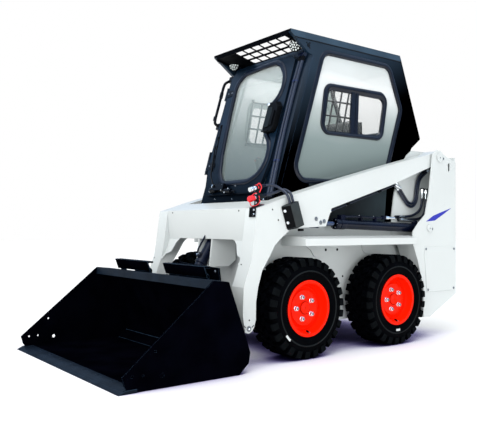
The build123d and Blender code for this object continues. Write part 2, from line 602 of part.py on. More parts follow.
parts["loop_hoses"] = whole(loops + mirrored(loops))
parts["feed_hoses"] = whole(feeds + mirrored(feeds))

# Two conduits up the cab's left front pillar, between a block at the foot and one at the top:
# (x, z) at one distance in front of the front plane.
CONDUIT_OFF, CONDUIT_R = 12.0, 10.5
CONDUITS = [
    [(380, 925), (379, 990), (369, 1130), (357, 1320), (353.5, 1500), (354.5, 1680), (361, 1790), (361, 1850)],
    [(405, 925), (404, 990), (394, 1130), (382, 1320), (378.5, 1500), (379.5, 1680), (386, 1790), (386, 1850)],
]
conduits = None
for route in CONDUITS:
    tube = hose("conduit", [front_point(x, z, CONDUIT_OFF) for x, z in route], CONDUIT_R)
    conduits = tube if conduits is None else conduits + tube
parts["pillar_conduits"] = whole(conduits)
blocks = on_front([(340, 899), (340, 924.9), (419, 924.9), (419, 899)], -0.1, 24)
blocks += on_front([(344, 1850.1), (344, 1874), (402, 1874), (402, 1850.1)], -0.1, 24)

# From the auxiliary couplers over the left arm's edge into its hose guard.
g1, g2 = guard_point(50, GUARD_FLOOR, 23), guard_point(76, GUARD_FLOOR, 23)
h1, h2 = guard_point(50, GUARD_FLOOR + 46, 23), guard_point(76, GUARD_FLOOR + 46, 23)
starts = []
for a, b in COUPLERS:
    n = math.hypot(b[0] - a[0], b[1] - a[1])
    d = ((b[0] - a[0]) / n, (b[1] - a[1]) / n)
    starts.append([(COUPLER_X, b[0] + d[0] * t + F, b[1] + d[1] * t) for t in (0.02, 50)])
BOOM_HOSES = [
    [*starts[0], (492, -160 + F, 1016), (515, -128 + F, 992),
     (556, -119 + F, 962), tuple(h1), tuple(g1)],
    [*starts[1], (484, -150 + F, 975), (508, -104 + F, 998),
     (555, -92 + F, 972), tuple(h2), tuple(g2)],
]
booms = None
for route in BOOM_HOSES:
    tube = hose("boom hose", route, 8.0)
    booms = tube if booms is None else booms + tube
parts["boom_hoses"] = whole(booms)
parts["hose_unions"] = whole(unions + mirrored(unions) + blocks)

# ---- inside the cab -----------------------------------------------------
riser = block(-371, 371, 330.5, 960, 725, 905) - block(-365, 365, 336, 960.1, 700, 899)
parts["seat_platform"] = whole(riser)
seat = block(-235, 235, 410, 850, 906, 1010) + prism([(800, 1010), (870, 1010), (940, 1560), (860, 1560)], -225, 225)
parts["operator_seat"] = whole(seat)
levers = None
for s in (1, -1):
    lever = block(s * 275, s * 345, 360, 640, 906, 1060) + bar((s * 310, 400, 1058), (s * 310, 370, 1200), 12)
    lever += bar((s * 310, 376, 1180), (s * 310, 356, 1270), 22)
    levers = lever if levers is None else levers + lever
parts["control_levers"] = whole(levers)

# ---- rear door and hood -------------------------------------------------
rear_door = block(-405, 405, 1519, 1552, 335, 1240) - block(-399, 399, 1518, 1546, 341, 1234)
for k in range(9):
    z0 = 620 + k * 56
    rear_door -= block(-300, 300, 1540, 1560, z0, z0 + 30)
DOOR_PIN = (-412.0, 1546.0)
for z0 in (420, 1080):
    rear_door += Pos(DOOR_PIN[0], DOOR_PIN[1] + F, z0 + 40) * Cylinder(6, 80)
    rear_door += block(-412, -404, 1546, 1551.9, z0, z0 + 80)
    rear_door -= Pos(DOOR_PIN[0], DOOR_PIN[1] + F, z0 + 40) * Cylinder(3 + FIT, 90)
parts["rear_door"] = whole(rear_door)
lugs = None
for z0 in (420, 1080):
    lug = Pos(DOOR_PIN[0], DOOR_PIN[1] + F, z0 + 40) * Cylinder(3, 104)
    for za in (z0 - 12, z0 + 80.5):
        lug += Pos(DOOR_PIN[0], DOOR_PIN[1] + F, za + 5.75) * Cylinder(6, 11.5)
        lug += block(-418, -406, 1510, 1546, za, za + 11.5)
        lug += block(-428, -406, 1508, 1514, za, za + 11.5)
    lugs = lug if lugs is None else lugs + lug
parts["uprights"] = whole(uprights + lugs)
hood = prism([(1326, 1306), (1326, 1318), (1420, 1316), (1548, 1270), (1548, 1248), (1540, 1248), (1540, 1262), (1418, 1306)], -405, 405)
HOOD_PIN = (1326.0, 1318.0)
cowl = block(-419.9, 419.9, 1200, 1318, 1240, 1300) - block(-412, 412, 1208, 1310, 1230, 1292)
for s in (1, -1):
    cowl -= rod(LIFT_PIVOT, 27, s * 400, s * 430) if s > 0 else rod(LIFT_PIVOT, 27, -430, -400)
for x0 in (-330, 270):
    hood -= block(x0 - 13, x0, 1310, 1334, 1300, 1330)
    hood -= block(x0 + 60, x0 + 73, 1310, 1334, 1300, 1330)
    hood += rod(HOOD_PIN, 6, x0, x0 + 60)
    hood -= rod(HOOD_PIN, 3 + FIT, x0 - 1, x0 + 61)
    cowl += rod(HOOD_PIN, 3, x0 - 12, x0 + 72)
    for xa in (x0 - 12, x0 + 60.5):
        cowl += rod(HOOD_PIN, 6, xa, xa + 11.5)
        cowl += block(xa, xa + 11.5, 1308, 1324, 1296, 1318)
parts["engine_hood"] = whole(hood)
parts["rear_crossmember"] = whole(cowl)
lights = None
for s in (1, -1):
    t = block(s * 455, s * 530, 1515.1, 1530, 1080, 1170)
    lights = t if lights is None else lights + t
parts["tail_lights"] = whole(lights)

# ---- write --------------------------------------------------------------
os.makedirs("parts", exist_ok=True)
for name, shape in parts.items():
    export_step(shape, "parts/" + name + ".step")
print(len(parts), "pieces")
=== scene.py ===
import bpy
import bmesh
import json
import math
from mathutils import Matrix, Vector
from mathutils.geometry import tessellate_polygon


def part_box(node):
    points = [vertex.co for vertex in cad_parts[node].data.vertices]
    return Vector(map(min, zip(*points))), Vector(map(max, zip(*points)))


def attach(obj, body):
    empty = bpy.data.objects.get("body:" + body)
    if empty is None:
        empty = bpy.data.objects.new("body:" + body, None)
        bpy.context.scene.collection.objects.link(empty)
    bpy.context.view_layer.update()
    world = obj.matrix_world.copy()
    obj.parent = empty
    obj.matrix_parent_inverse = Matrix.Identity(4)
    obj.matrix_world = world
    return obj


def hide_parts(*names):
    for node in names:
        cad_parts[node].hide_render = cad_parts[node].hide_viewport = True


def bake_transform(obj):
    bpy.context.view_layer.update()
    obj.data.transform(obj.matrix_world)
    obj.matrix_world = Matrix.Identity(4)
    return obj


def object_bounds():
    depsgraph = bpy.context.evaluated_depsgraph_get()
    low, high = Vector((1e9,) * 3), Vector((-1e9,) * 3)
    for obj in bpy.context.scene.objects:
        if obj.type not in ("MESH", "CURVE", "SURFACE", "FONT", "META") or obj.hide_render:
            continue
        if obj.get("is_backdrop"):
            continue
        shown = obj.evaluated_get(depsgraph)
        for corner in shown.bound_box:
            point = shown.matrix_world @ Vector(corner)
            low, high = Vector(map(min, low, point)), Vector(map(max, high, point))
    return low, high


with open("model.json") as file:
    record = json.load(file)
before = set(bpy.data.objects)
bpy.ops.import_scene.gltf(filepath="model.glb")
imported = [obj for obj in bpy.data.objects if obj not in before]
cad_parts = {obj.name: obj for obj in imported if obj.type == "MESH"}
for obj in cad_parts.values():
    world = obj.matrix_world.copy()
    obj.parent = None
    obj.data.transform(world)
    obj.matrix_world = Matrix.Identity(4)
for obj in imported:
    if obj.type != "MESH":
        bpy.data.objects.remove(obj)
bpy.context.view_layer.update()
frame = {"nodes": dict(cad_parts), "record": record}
NODES = frame["nodes"]
SLOT = {s["node"]: s["material_slot"] for s in frame["record"]["subparts"]}
scene = bpy.context.scene

# Lengths in this script are millimetres, with y counted rearwards from the front axle, as in the
# part's own drawing; P() turns them into the frame's metres.
AXLE_Y = -142.0
WHEELBASE = 799.0


def P(x, y, z):
    return Vector((x, y + AXLE_Y, z)) * 0.001


UPV = Vector((0, 0.3174, 1)).normalized()


def front(x, z, off=0.0):
    """Point on the cab's front plane at (x, z), off mm in front of it."""
    s = (z - 895.0 - off * UPV.y) / UPV.z
    return P(x, -130.0 + s * UPV.y - off * UPV.z, 895.0 + s * UPV.z + off * UPV.y)


def left(y, z, x):
    return P(x, y, z)


def right(y, z, x):
    return P(-x, y, z)


# ---- materials ----------------------------------------------------------
def material(name, color, rough=0.4, metal=0.0, spec=0.5, coat=0.0, coat_rough=0.08, sheen=0.0,
             tone=(0.92, 1.06), tone_scale=4.0, fine=160.0, rough_var=0.06, bump=0.05, bump_mm=0.3,
             alpha=None, second=None, detail=3.0, aniso=0.0, tint=None, fade=None):
    """Painted, moulded or rubber surface: large soft tone changes, fine roughness grain and bump.

    fade = (ky, kz, low, high, floor): painted shade; the colour and the sheen darken to a share, floor, as
    ky * y + kz * z falls from high to low.
    """
    m = bpy.data.materials.new(name)
    m.use_nodes = True
    nt = m.node_tree
    b = nt.nodes["Principled BSDF"]
    tc = nt.nodes.new("ShaderNodeTexCoord")
    n1 = nt.nodes.new("ShaderNodeTexNoise")
    n1.inputs["Scale"].default_value = tone_scale
    n1.inputs["Detail"].default_value = detail
    ramp = nt.nodes.new("ShaderNodeValToRGB")
    ramp.color_ramp.elements[0].position = 0.32
    ramp.color_ramp.elements[1].position = 0.68
    c0 = [min(1, c * tone[0]) for c in color]
    c1 = [min(1, c * tone[1]) for c in (second or color)]
    ramp.color_ramp.elements[0].color = (*c0, 1)
    ramp.color_ramp.elements[1].color = (*c1, 1)
    nt.links.new(tc.outputs["Object"], n1.inputs["Vector"])
    nt.links.new(n1.outputs["Fac"], ramp.inputs["Fac"])
    nt.links.new(ramp.outputs["Color"], b.inputs["Base Color"])
    n2 = nt.nodes.new("ShaderNodeTexNoise")
    n2.inputs["Scale"].default_value = fine
    n2.inputs["Detail"].default_value = 2.0
    nt.links.new(tc.outputs["Object"], n2.inputs["Vector"])
    mr = nt.nodes.new("ShaderNodeMapRange")
    mr.inputs["From Min"].default_value = 0.3
    mr.inputs["From Max"].default_value = 0.7
    mr.inputs["To Min"].default_value = max(0.02, rough - rough_var)
    mr.inputs["To Max"].default_value = min(1.0, rough + rough_var)
    nt.links.new(n2.outputs["Fac"], mr.inputs["Value"])
    nt.links.new(mr.outputs["Result"], b.inputs["Roughness"])
    if bump:
        bp = nt.nodes.new("ShaderNodeBump")
        bp.inputs["Strength"].default_value = bump
        bp.inputs["Distance"].default_value = bump_mm * 0.001
        nt.links.new(n2.outputs["Fac"], bp.inputs["Height"])
        nt.links.new(bp.outputs["Normal"], b.inputs["Normal"])
    b.inputs["Metallic"].default_value = metal
    b.inputs["Specular IOR Level"].default_value = spec
    b.inputs["Coat Weight"].default_value = coat
    b.inputs["Coat Roughness"].default_value = coat_rough
    b.inputs["Sheen Weight"].default_value = sheen
    b.inputs["Anisotropic"].default_value = aniso
    # painted shade: base colour and specular are scaled down by position, standing in for the shade on the lower and
    # rear parts
    if fade:
        ky, kz, low, high, least = fade
        sep = nt.nodes.new("ShaderNodeSeparateXYZ")
        nt.links.new(tc.outputs["Object"], sep.inputs["Vector"])
        my = nt.nodes.new("ShaderNodeMath")
        my.operation = "MULTIPLY"
        my.inputs[1].default_value = ky
        nt.links.new(sep.outputs["Y"], my.inputs[0])
        mz = nt.nodes.new("ShaderNodeMath")
        mz.operation = "MULTIPLY_ADD"
        mz.inputs[1].default_value = kz
        nt.links.new(sep.outputs["Z"], mz.inputs[0])
        nt.links.new(my.outputs["Value"], mz.inputs[2])
        share = nt.nodes.new("ShaderNodeMapRange")
        share.interpolation_type = "SMOOTHSTEP"
        share.inputs["From Min"].default_value = low
        share.inputs["From Max"].default_value = high
        share.inputs["To Min"].default_value = least
        share.inputs["To Max"].default_value = 1.0
        nt.links.new(mz.outputs["Value"], share.inputs["Value"])
        mix = nt.nodes.new("ShaderNodeMixRGB")
        mix.blend_type = "MULTIPLY"
        mix.inputs["Fac"].default_value = 1.0
        nt.links.new(ramp.outputs["Color"], mix.inputs["Color1"])
        nt.links.new(share.outputs["Result"], mix.inputs["Color2"])
        nt.links.new(mix.outputs["Color"], b.inputs["Base Color"])
        sp = nt.nodes.new("ShaderNodeMath")
        sp.operation = "MULTIPLY"
        sp.inputs[1].default_value = spec
        nt.links.new(share.outputs["Result"], sp.inputs[0])
        nt.links.new(sp.outputs["Value"], b.inputs["Specular IOR Level"])
    if tint:
        b.inputs["Specular Tint"].default_value = (*tint, 1)
    if alpha is not None:
        b.inputs["Alpha"].default_value = alpha
    return m


def graded(name, stops, z0, z1, rough=0.06, spec=0.5, alpha=0.5, coat=0.0, axis="Z", wobble=0.0, clear=None):
    """Glass with a painted reflection: its colour runs from stops[0] at z0 to stops[-1] at z1, with a faint smear in
    its gloss.
    """
    m = bpy.data.materials.new(name)
    m.use_nodes = True
    nt = m.node_tree
    b = nt.nodes["Principled BSDF"]
    tc = nt.nodes.new("ShaderNodeTexCoord")
    sep = nt.nodes.new("ShaderNodeSeparateXYZ")
    nt.links.new(tc.outputs["Object"], sep.inputs["Vector"])
    noise = nt.nodes.new("ShaderNodeTexNoise")
    noise.inputs["Scale"].default_value = 2.2
    noise.inputs["Detail"].default_value = 1.5
    nt.links.new(tc.outputs["Object"], noise.inputs["Vector"])
    wob = nt.nodes.new("ShaderNodeMath")
    wob.operation = "MULTIPLY_ADD"
    wob.inputs[1].default_value = wobble
    nt.links.new(noise.outputs["Fac"], wob.inputs[0])
    nt.links.new(sep.outputs[axis], wob.inputs[2])
    mr = nt.nodes.new("ShaderNodeMapRange")
    mr.inputs["From Min"].default_value = z0 + wobble * 0.5
    mr.inputs["From Max"].default_value = z1 + wobble * 0.5
    nt.links.new(wob.outputs["Value"], mr.inputs["Value"])
    ramp = nt.nodes.new("ShaderNodeValToRGB")
    cr = ramp.color_ramp
    for i, (pos, col) in enumerate(stops):
        e = cr.elements[i] if i < 2 else cr.elements.new(pos)
        e.position = pos
        e.color = (*col, 1)
    nt.links.new(mr.outputs["Result"], ramp.inputs["Fac"])
    nt.links.new(ramp.outputs["Color"], b.inputs["Base Color"])
    smear = nt.nodes.new("ShaderNodeMapRange")
    smear.inputs["To Min"].default_value = rough * 0.6
    smear.inputs["To Max"].default_value = rough * 1.6
    nt.links.new(noise.outputs["Fac"], smear.inputs["Value"])
    nt.links.new(smear.outputs["Result"], b.inputs["Roughness"])
    b.inputs["Specular IOR Level"].default_value = spec
    b.inputs["Coat Weight"].default_value = coat
    if clear is None:
        b.inputs["Alpha"].default_value = alpha
    else:
        fade = nt.nodes.new("ShaderNodeValToRGB")
        for i, (pos, a) in enumerate(clear):
            e = fade.color_ramp.elements[i] if i < 2 else fade.color_ramp.elements.new(pos)
            e.position = pos
            e.color = (a, a, a, 1)
        nt.links.new(mr.outputs["Result"], fade.inputs["Fac"])
        nt.links.new(fade.outputs["Color"], b.inputs["Alpha"])
    return m


def braided(name, color, light):
    """Hose rubber with a fine woven wrap: two crossed wave fields over its length; the lighter blue of the weave is a
    painted highlight.
    """
    m = bpy.data.materials.new(name)
    m.use_nodes = True
    nt = m.node_tree
    b = nt.nodes["Principled BSDF"]
    tc = nt.nodes.new("ShaderNodeTexCoord")
    waves = []
    for i, (ax, ay, az) in enumerate(((0.6, 0.8, 0.7), (-0.6, 0.8, -0.7))):
        mp = nt.nodes.new("ShaderNodeMapping")
        mp.inputs["Rotation"].default_value = (ax, ay, az)
        nt.links.new(tc.outputs["Object"], mp.inputs["Vector"])
        w = nt.nodes.new("ShaderNodeTexWave")
        w.inputs["Scale"].default_value = 90.0
        w.inputs["Distortion"].default_value = 0.4
        nt.links.new(mp.outputs["Vector"], w.inputs["Vector"])
        waves.append(w)
    mul = nt.nodes.new("ShaderNodeMath")
    mul.operation = "MULTIPLY"
    nt.links.new(waves[0].outputs["Fac"], mul.inputs[0])
    nt.links.new(waves[1].outputs["Fac"], mul.inputs[1])
    ramp = nt.nodes.new("ShaderNodeValToRGB")
    ramp.color_ramp.elements[0].color = (*color, 1)
    ramp.color_ramp.elements[1].color = (*light, 1)
    nt.links.new(mul.outputs["Value"], ramp.inputs["Fac"])
    nt.links.new(ramp.outputs["Color"], b.inputs["Base Color"])
    bp = nt.nodes.new("ShaderNodeBump")
    bp.inputs["Strength"].default_value = 0.35
    bp.inputs["Distance"].default_value = 0.0006
    nt.links.new(mul.outputs["Value"], bp.inputs["Height"])
    nt.links.new(bp.outputs["Normal"], b.inputs["Normal"])
    mr = nt.nodes.new("ShaderNodeMapRange")
    mr.inputs["To Min"].default_value = 0.28
    mr.inputs["To Max"].default_value = 0.5
    nt.links.new(mul.outputs["Value"], mr.inputs["Value"])
    nt.links.new(mr.outputs["Result"], b.inputs["Roughness"])
    b.inputs["Specular IOR Level"].default_value = 0.7
    return m


M = {
    "body": material("body_white_paint", (0.63, 0.665, 0.66), 0.40, spec=0.3, coat=0.10, tone=(0.975, 1.02), tone_scale=2.5, fine=420, rough_var=0.05, bump=0.04, bump_mm=0.2),
    # cab and cab_side carry painted shade through fade: darker towards the bottom, and on the sides also towards the
    # rear; the sides are a lighter copy of the same paint
    "cab": material("cab_blue_black_paint_painted_shade", (0.0035, 0.0125, 0.027), 0.34, spec=0.22, coat=0.0, tone=(0.6, 1.4), tone_scale=2.2, fine=380, bump=0.06, bump_mm=0.2, fade=(0.0, 1.0, 0.80, 1.45, 0.12)),
    "cab_side": material("cab_side_blue_black_paint_painted_shade", (0.0085, 0.021, 0.038), 0.34, spec=0.26, coat=0.0, tone=(0.7, 1.3), tone_scale=2.2, fine=380, bump=0.06, bump_mm=0.2, fade=(-0.42, 1.0, 1.28, 1.84, 0.0)),
    "cab_rail": material("cab_rail_painted_highlight", (0.026, 0.052, 0.082), 0.36, spec=0.25, tone=(0.8, 1.2), tone_scale=5, fine=380, bump=0.06, bump_mm=0.2),
    "cab_dark": material("cab_black_enamel_and_painted_shade", (0.0008, 0.0014, 0.0032), 0.32, spec=0.16, tone=(0.6, 1.5), tone_scale=5, fine=300, bump=0.05, bump_mm=0.2),
    "bucket": material("bucket_black_paint", (0.0006, 0.0007, 0.0019), 0.6, spec=0.0, tone=(0.6, 1.6), tone_scale=6, fine=240, rough_var=0.1, bump=0.12, bump_mm=0.35),
    "bucket_lip": material("bucket_slate_painted_sheen", (0.0065, 0.0125, 0.022), 0.45, spec=0.05, tone=(0.8, 1.3), tone_scale=9, fine=240, rough_var=0.1, bump=0.12, bump_mm=0.35),
    "rim": material("rim_orange_red_gloss", (0.92, 0.0125, 0.0004), 0.34, spec=0.05, coat=0.04, tone=(0.94, 1.05), tone_scale=9, fine=300, rough_var=0.05, bump=0.03, bump_mm=0.2),
    "tyre": material("tyre_rubber", (0.0005, 0.0007, 0.0012), 0.8, spec=0.01, tone=(0.6, 1.7), tone_scale=14, fine=420, rough_var=0.12, bump=0.25, bump_mm=0.5),
    "tyre_side": material("tyre_sidewall_rubber", (0.0006, 0.0008, 0.0013), 0.6, spec=0.015, tone=(0.7, 1.5), tone_scale=10, fine=420, rough_var=0.1, bump=0.12, bump_mm=0.3),
    "tyre_lug": material("tyre_lug_side_painted_light", (0.0020, 0.0028, 0.0034), 0.72, spec=0.03, tone=(0.75, 1.3), tone_scale=20, fine=500, rough_var=0.12, bump=0.3, bump_mm=0.5),
    "tyre_ring": material("tyre_ring_painted_highlight", (0.0034, 0.0048, 0.0052), 0.5, spec=0.1, tone=(0.1, 2.2), tone_scale=3, fine=400, bump=0.1),
    "guard_face": material("guard_cover_slate", (0.030, 0.037, 0.038), 0.45, spec=0.15, tone=(0.8, 1.2), tone_scale=14, fine=500, bump=0.15, bump_mm=0.3),
    "worn_slate": material("cab_low_mottled_plate", (0.010, 0.016, 0.019), 0.4, spec=0.15, tone=(0.35, 2.0), tone_scale=3.4, fine=300, bump=0.08, bump_mm=0.2, detail=6.0),
    "visor_dark": material("visor_matt_black", (0.0004, 0.0007, 0.0015), 0.65, spec=0.03, tone=(0.6, 1.5), tone_scale=5, fine=300, bump=0.05, bump_mm=0.2),
    "liner_dark": material("cab_liner_shadow_trim", (0.28, 0.33, 0.32), 0.8, spec=0.2, tone=(0.93, 1.06), tone_scale=4, fine=900, bump=0.2),
    "seal": material("window_seal_rubber", (0.0020, 0.0045, 0.0125), 0.30, spec=0.30, tone=(0.7, 1.4), tone_scale=8, fine=600, bump=0.05),
    "steel": material("bright_plated_steel", (0.80, 0.84, 0.86), 0.22, metal=1.0, tone=(0.85, 1.05), tone_scale=40, fine=500, bump=0.06, bump_mm=0.2),
    "steel_dull": material("machined_steel", (0.26, 0.28, 0.30), 0.34, metal=1.0, tone=(0.8, 1.15), tone_scale=30, fine=500, bump=0.08, bump_mm=0.2),
    # the rod chrome is tinted blue-black: a painted dark reflection in place of bright chrome
    "chrome": material("hard_chrome_painted_dark_reflection", (0.10, 0.13, 0.21), 0.16, metal=1.0, tone=(0.95, 1.03), tone_scale=20, fine=600, rough_var=0.03, bump=0.02, aniso=0.4),
    "enamel": material("black_blue_enamel", (0.0012, 0.003, 0.012), 0.24, spec=0.22, coat=0.0, tone=(0.7, 1.5), tone_scale=6, fine=320, bump=0.04),
    "hose": braided("braided_hose_rubber_and_sheen", (0.0006, 0.0012, 0.004), (0.010, 0.026, 0.085)),
    "red": material("red_dust_cap_rubber", (0.78, 0.012, 0.022), 0.35, spec=0.5, tone=(0.85, 1.1), tone_scale=30, fine=300, bump=0.1),
    "tie": material("blue_black_cable_tie", (0.008, 0.018, 0.075), 0.35, tone=(0.8, 1.2), tone_scale=30, fine=300),
    "iron": material("engine_cast_iron", (0.05, 0.052, 0.055), 0.6, spec=0.4, tone=(0.6, 1.5), tone_scale=14, fine=130, bump=0.5, bump_mm=1.0),
    "plastic": material("black_moulded_plastic", (0.0012, 0.0016, 0.0022), 0.5, spec=0.08, tone=(0.8, 1.3), tone_scale=12, fine=700, bump=0.3, bump_mm=0.3),
    "slate": material("slate_cover_plastic", (0.0075, 0.0110, 0.0125), 0.42, spec=0.12, tone=(0.85, 1.15), tone_scale=12, fine=500, bump=0.15, bump_mm=0.3),
    "liner": material("cab_liner_grey_trim", (0.52, 0.60, 0.585), 0.8, spec=0.2, tone=(0.93, 1.06), tone_scale=4, fine=900, bump=0.3, bump_mm=0.4),
    "vinyl": material("seat_vinyl", (0.010, 0.0125, 0.015), 0.45, spec=0.45, tone=(0.75, 1.3), tone_scale=9, fine=340, bump=0.5, bump_mm=0.6),
    "stitch": material("seat_stitching", (0.30, 0.32, 0.33), 0.7, tone=(0.8, 1.1), tone_scale=60, fine=600),
    "led": material("led_cells_painted_reflection", (0.90, 0.97, 0.94), 0.25, metal=0.0, tone=(0.7, 1.05), tone_scale=60, fine=400, rough_var=0.05, bump=0.1),
    "lamp_lens": material("lamp_clear_lens", (0.75, 0.88, 0.84), 0.05, spec=0.1, alpha=0.015, tone=(0.9, 1.05), tone_scale=20, bump=0.0),
    "tail": material("tail_lamp_red_lens", (0.55, 0.008, 0.006), 0.12, spec=0.6, coat=0.6, tone=(0.8, 1.15), tone_scale=50, fine=260, bump=0.35, bump_mm=0.8),
    "stripe": material("blue_stripe_paint", (0.022, 0.030, 0.42), 0.3, coat=0.3, tone=(0.92, 1.05), tone_scale=10, fine=300, bump=0.03),
    "edge_blue": material("cab_edge_highlight", (0.035, 0.075, 0.15), 0.3, spec=0.4, tone=(0.7, 1.3), tone_scale=14, fine=300, bump=0.05),
    "edge_slate": material("bucket_edge_highlight", (0.022, 0.045, 0.075), 0.4, spec=0.1, tone=(0.5, 1.5), tone_scale=14, fine=300, bump=0.05),
    "mark": material("tyre_paint_mark", (0.62, 0.66, 0.66), 0.6, tone=(0.85, 1.05), tone_scale=60, fine=300, bump=0.1),
    "mat": material("ribbed_floor_mat", (0.014, 0.015, 0.017), 0.75, spec=0.25, tone=(0.8, 1.3), tone_scale=20, fine=240, bump=0.5, bump_mm=1.0),
    # worn steel of the cutting edge and wear strips, its lighter slate partly a painted sheen from the light above
    "wear": material("worn_edge_steel_and_sheen", (0.0060, 0.0105, 0.0175), 0.45, spec=0.05, tone=(0.7, 1.4), tone_scale=12, fine=200, rough_var=0.12, bump=0.15),
    # glass colours: the light-to-dark runs by height are painted reflections of the studio
    "glass_side": graded("side_glass_painted_reflection", [(0.0, (0.155, 0.195, 0.193)), (0.3, (0.235, 0.29, 0.285)), (0.55, (0.47, 0.52, 0.51)), (0.72, (0.74, 0.77, 0.765)), (0.80, (0.86, 0.88, 0.875)), (1.0, (0.66, 0.70, 0.69))], 1.08, 1.9, wobble=0.10, clear=[(0.0, 0.94), (0.70, 0.92), (0.86, 0.62), (1.0, 0.85)]),
    "glass_pane": graded("sliding_pane_painted_reflection", [(0.0, (0.62, 0.68, 0.67)), (1.0, (0.95, 0.97, 0.97))], 1.40, 1.66, alpha=0.04, wobble=0.05),
    "glass_door": graded("door_glass_painted_reflection", [(0.0, (0.13, 0.165, 0.165)), (0.45, (0.34, 0.40, 0.39)), (1.0, (0.62, 0.68, 0.67))], 1.06, 1.85, wobble=0.08, clear=[(0.0, 0.55), (0.4, 0.30), (1.0, 0.42)]),
    "glass_rear": graded("rear_glass_painted_reflection", [(0.0, (0.55, 0.6, 0.6)), (1.0, (0.92, 0.95, 0.95))], 1.48, 1.9, alpha=0.20, wobble=0.05),
}
BY_SLOT = {
    "body_paint": "body", "cab_paint": "cab", "bucket_paint": "bucket", "rim_paint": "rim", "tyre": "tyre",
    "bare_steel": "steel_dull", "hose_rubber": "hose", "rod_chrome": "chrome", "black_steel": "enamel",
    "engine_iron": "iron", "window_glass": "glass_door", "lamp_housing": "plastic", "tail_lens": "tail",
    "seat_vinyl": "vinyl", "lever_plastic": "plastic",
}
OWN = {"cutting_edge": "wear", "hose_guard": "guard_face", "cab_left_side": "cab_side", "cab_right_side": "cab_side", "footwell_floor": "mat", "seat_platform": "plastic",
       # the cab's rear frame and roof take the near-black enamel instead of the cab paint: painted shade, darker
       # towards the rear
       "rear_window": "glass_rear", "cab_rear_frame": "cab_dark", "cab_roof": "cab_dark", "visor_grille": "visor_dark",
       "hose_unions": "enamel", "aux_couplers": "steel", "quick_attach": "bucket"}

# ---- finish of the carried-over nodes -----------------------------------
def smooth_group(angle):
    """Geometry nodes: drop the imported normals, then round shading up to an angle."""
    g = bpy.data.node_groups.new("round_shading", "GeometryNodeTree")
    g.interface.new_socket("Geometry", in_out="INPUT", socket_type="NodeSocketGeometry")
    g.interface.new_socket("Geometry", in_out="OUTPUT", socket_type="NodeSocketGeometry")
    gi = g.nodes.new("NodeGroupInput")
    go = g.nodes.new("NodeGroupOutput")
    rm = g.nodes.new("GeometryNodeRemoveAttribute")
    rm.inputs["Name"].default_value = "custom_normal"
    ea = g.nodes.new("GeometryNodeInputMeshEdgeAngle")
    cmp_ = g.nodes.new("FunctionNodeCompare")
    cmp_.operation = "LESS_THAN"
    cmp_.inputs[1].default_value = angle
    faces = g.nodes.new("GeometryNodeSetShadeSmooth")
    faces.domain = "FACE"
    edges = g.nodes.new("GeometryNodeSetShadeSmooth")
    edges.domain = "EDGE"
    g.links.new(gi.outputs[0], rm.inputs["Geometry"])
    g.links.new(rm.outputs["Geometry"], faces.inputs["Geometry"])
    g.links.new(faces.outputs["Geometry"], edges.inputs["Geometry"])
    g.links.new(ea.outputs["Unsigned Angle"], cmp_.inputs[0])
    g.links.new(cmp_.outputs["Result"], edges.inputs["Shade Smooth"])
    g.links.new(edges.outputs["Geometry"], go.inputs[0])
    return g


ROUND = smooth_group(math.radians(32))
PLATES = smooth_group(math.radians(17))


def dress(o, width, segments=2, angle=35, edge=None, plates=False):
    """Rounded edges on a carried-over node, by modifiers only."""
    w = o.modifiers.new("weld", "WELD")
    w.merge_threshold = 0.00002
    d = o.modifiers.new("planar", "DECIMATE")
    d.decimate_type = "DISSOLVE"
    d.angle_limit = math.radians(0.4)
    if width:
        b = o.modifiers.new("edges", "BEVEL")
        b.width = width * 0.001
        b.segments = segments
        b.limit_method = "ANGLE"
        b.angle_limit = math.radians(angle)
        b.use_clamp_overlap = True
        b.harden_normals = False
        if edge:
            o.data.materials.append(M[edge])
            b.material = len(o.data.materials) - 1
    s = o.modifiers.new("shading", "NODES")
    s.node_group = PLATES if plates else ROUND


BEVEL = {"left_lift_arm": 4.0, "right_lift_arm": 4.0, "front_crossmember": 2.0, "uprights": 1.6, "main_frame": 1.6,
         "step_rails": 3.0, "cab_left_side": 3.0, "cab_right_side": 3.0, "cab_front_frame": 2.0, "cab_rear_frame": 2.0,
         "cab_roof": 3.0, "visor_grille": 1.2, "bucket_shell": 1.6, "bucket_sides": 1.6, "bucket_steps": 1.4,
         "quick_attach": 2.0, "cutting_edge": 1.2, "cab_door": 2.0, "rear_door": 2.0, "engine_hood": 2.0,
         "rear_crossmember": 2.0, "engine_block": 6.0, "hose_guard": 3.0, "tail_lights": 2.0}
# bevel faces of these nodes take the listed edge material; edge_blue and edge_slate are lighter, a painted edge
# highlight
EDGE = {"cab_left_side": "edge_blue", "cab_right_side": "edge_blue", "cab_front_frame": "edge_blue", "cab_roof": "edge_blue",
        "cab_door": "edge_blue", "visor_grille": "visor_dark", "bucket_shell": "edge_slate", "bucket_sides": "edge_slate", "bucket_steps": "edge_slate",
        "quick_attach": "edge_slate", "cutting_edge": "edge_slate"}
FLAT = {"front_crossmember", "uprights", "main_frame", "left_lift_arm", "right_lift_arm", "bucket_shell", "bucket_sides", "cab_left_side",
        "cab_right_side", "cab_front_frame", "cab_rear_frame", "cab_roof", "cab_door", "engine_hood", "rear_door", "step_rails", "rear_crossmember"}
for n, o in NODES.items():
    key = OWN.get(n, BY_SLOT[SLOT[n]])
    for s in o.material_slots:
        s.material = M[key]
    if not o.material_slots:
        o.data.materials.append(M[key])
    dress(o, BEVEL.get(n, 0.0), edge=EDGE.get(n), plates=n in FLAT)


# ---- mesh builder -------------------------------------------------------
def perp(d):
    d = d.normalized()
    a = Vector((0, 0, 1)) if abs(d.z) < 0.9 else Vector((1, 0, 0))
    u = d.cross(a).normalized()
    return u, d.cross(u).normalized()


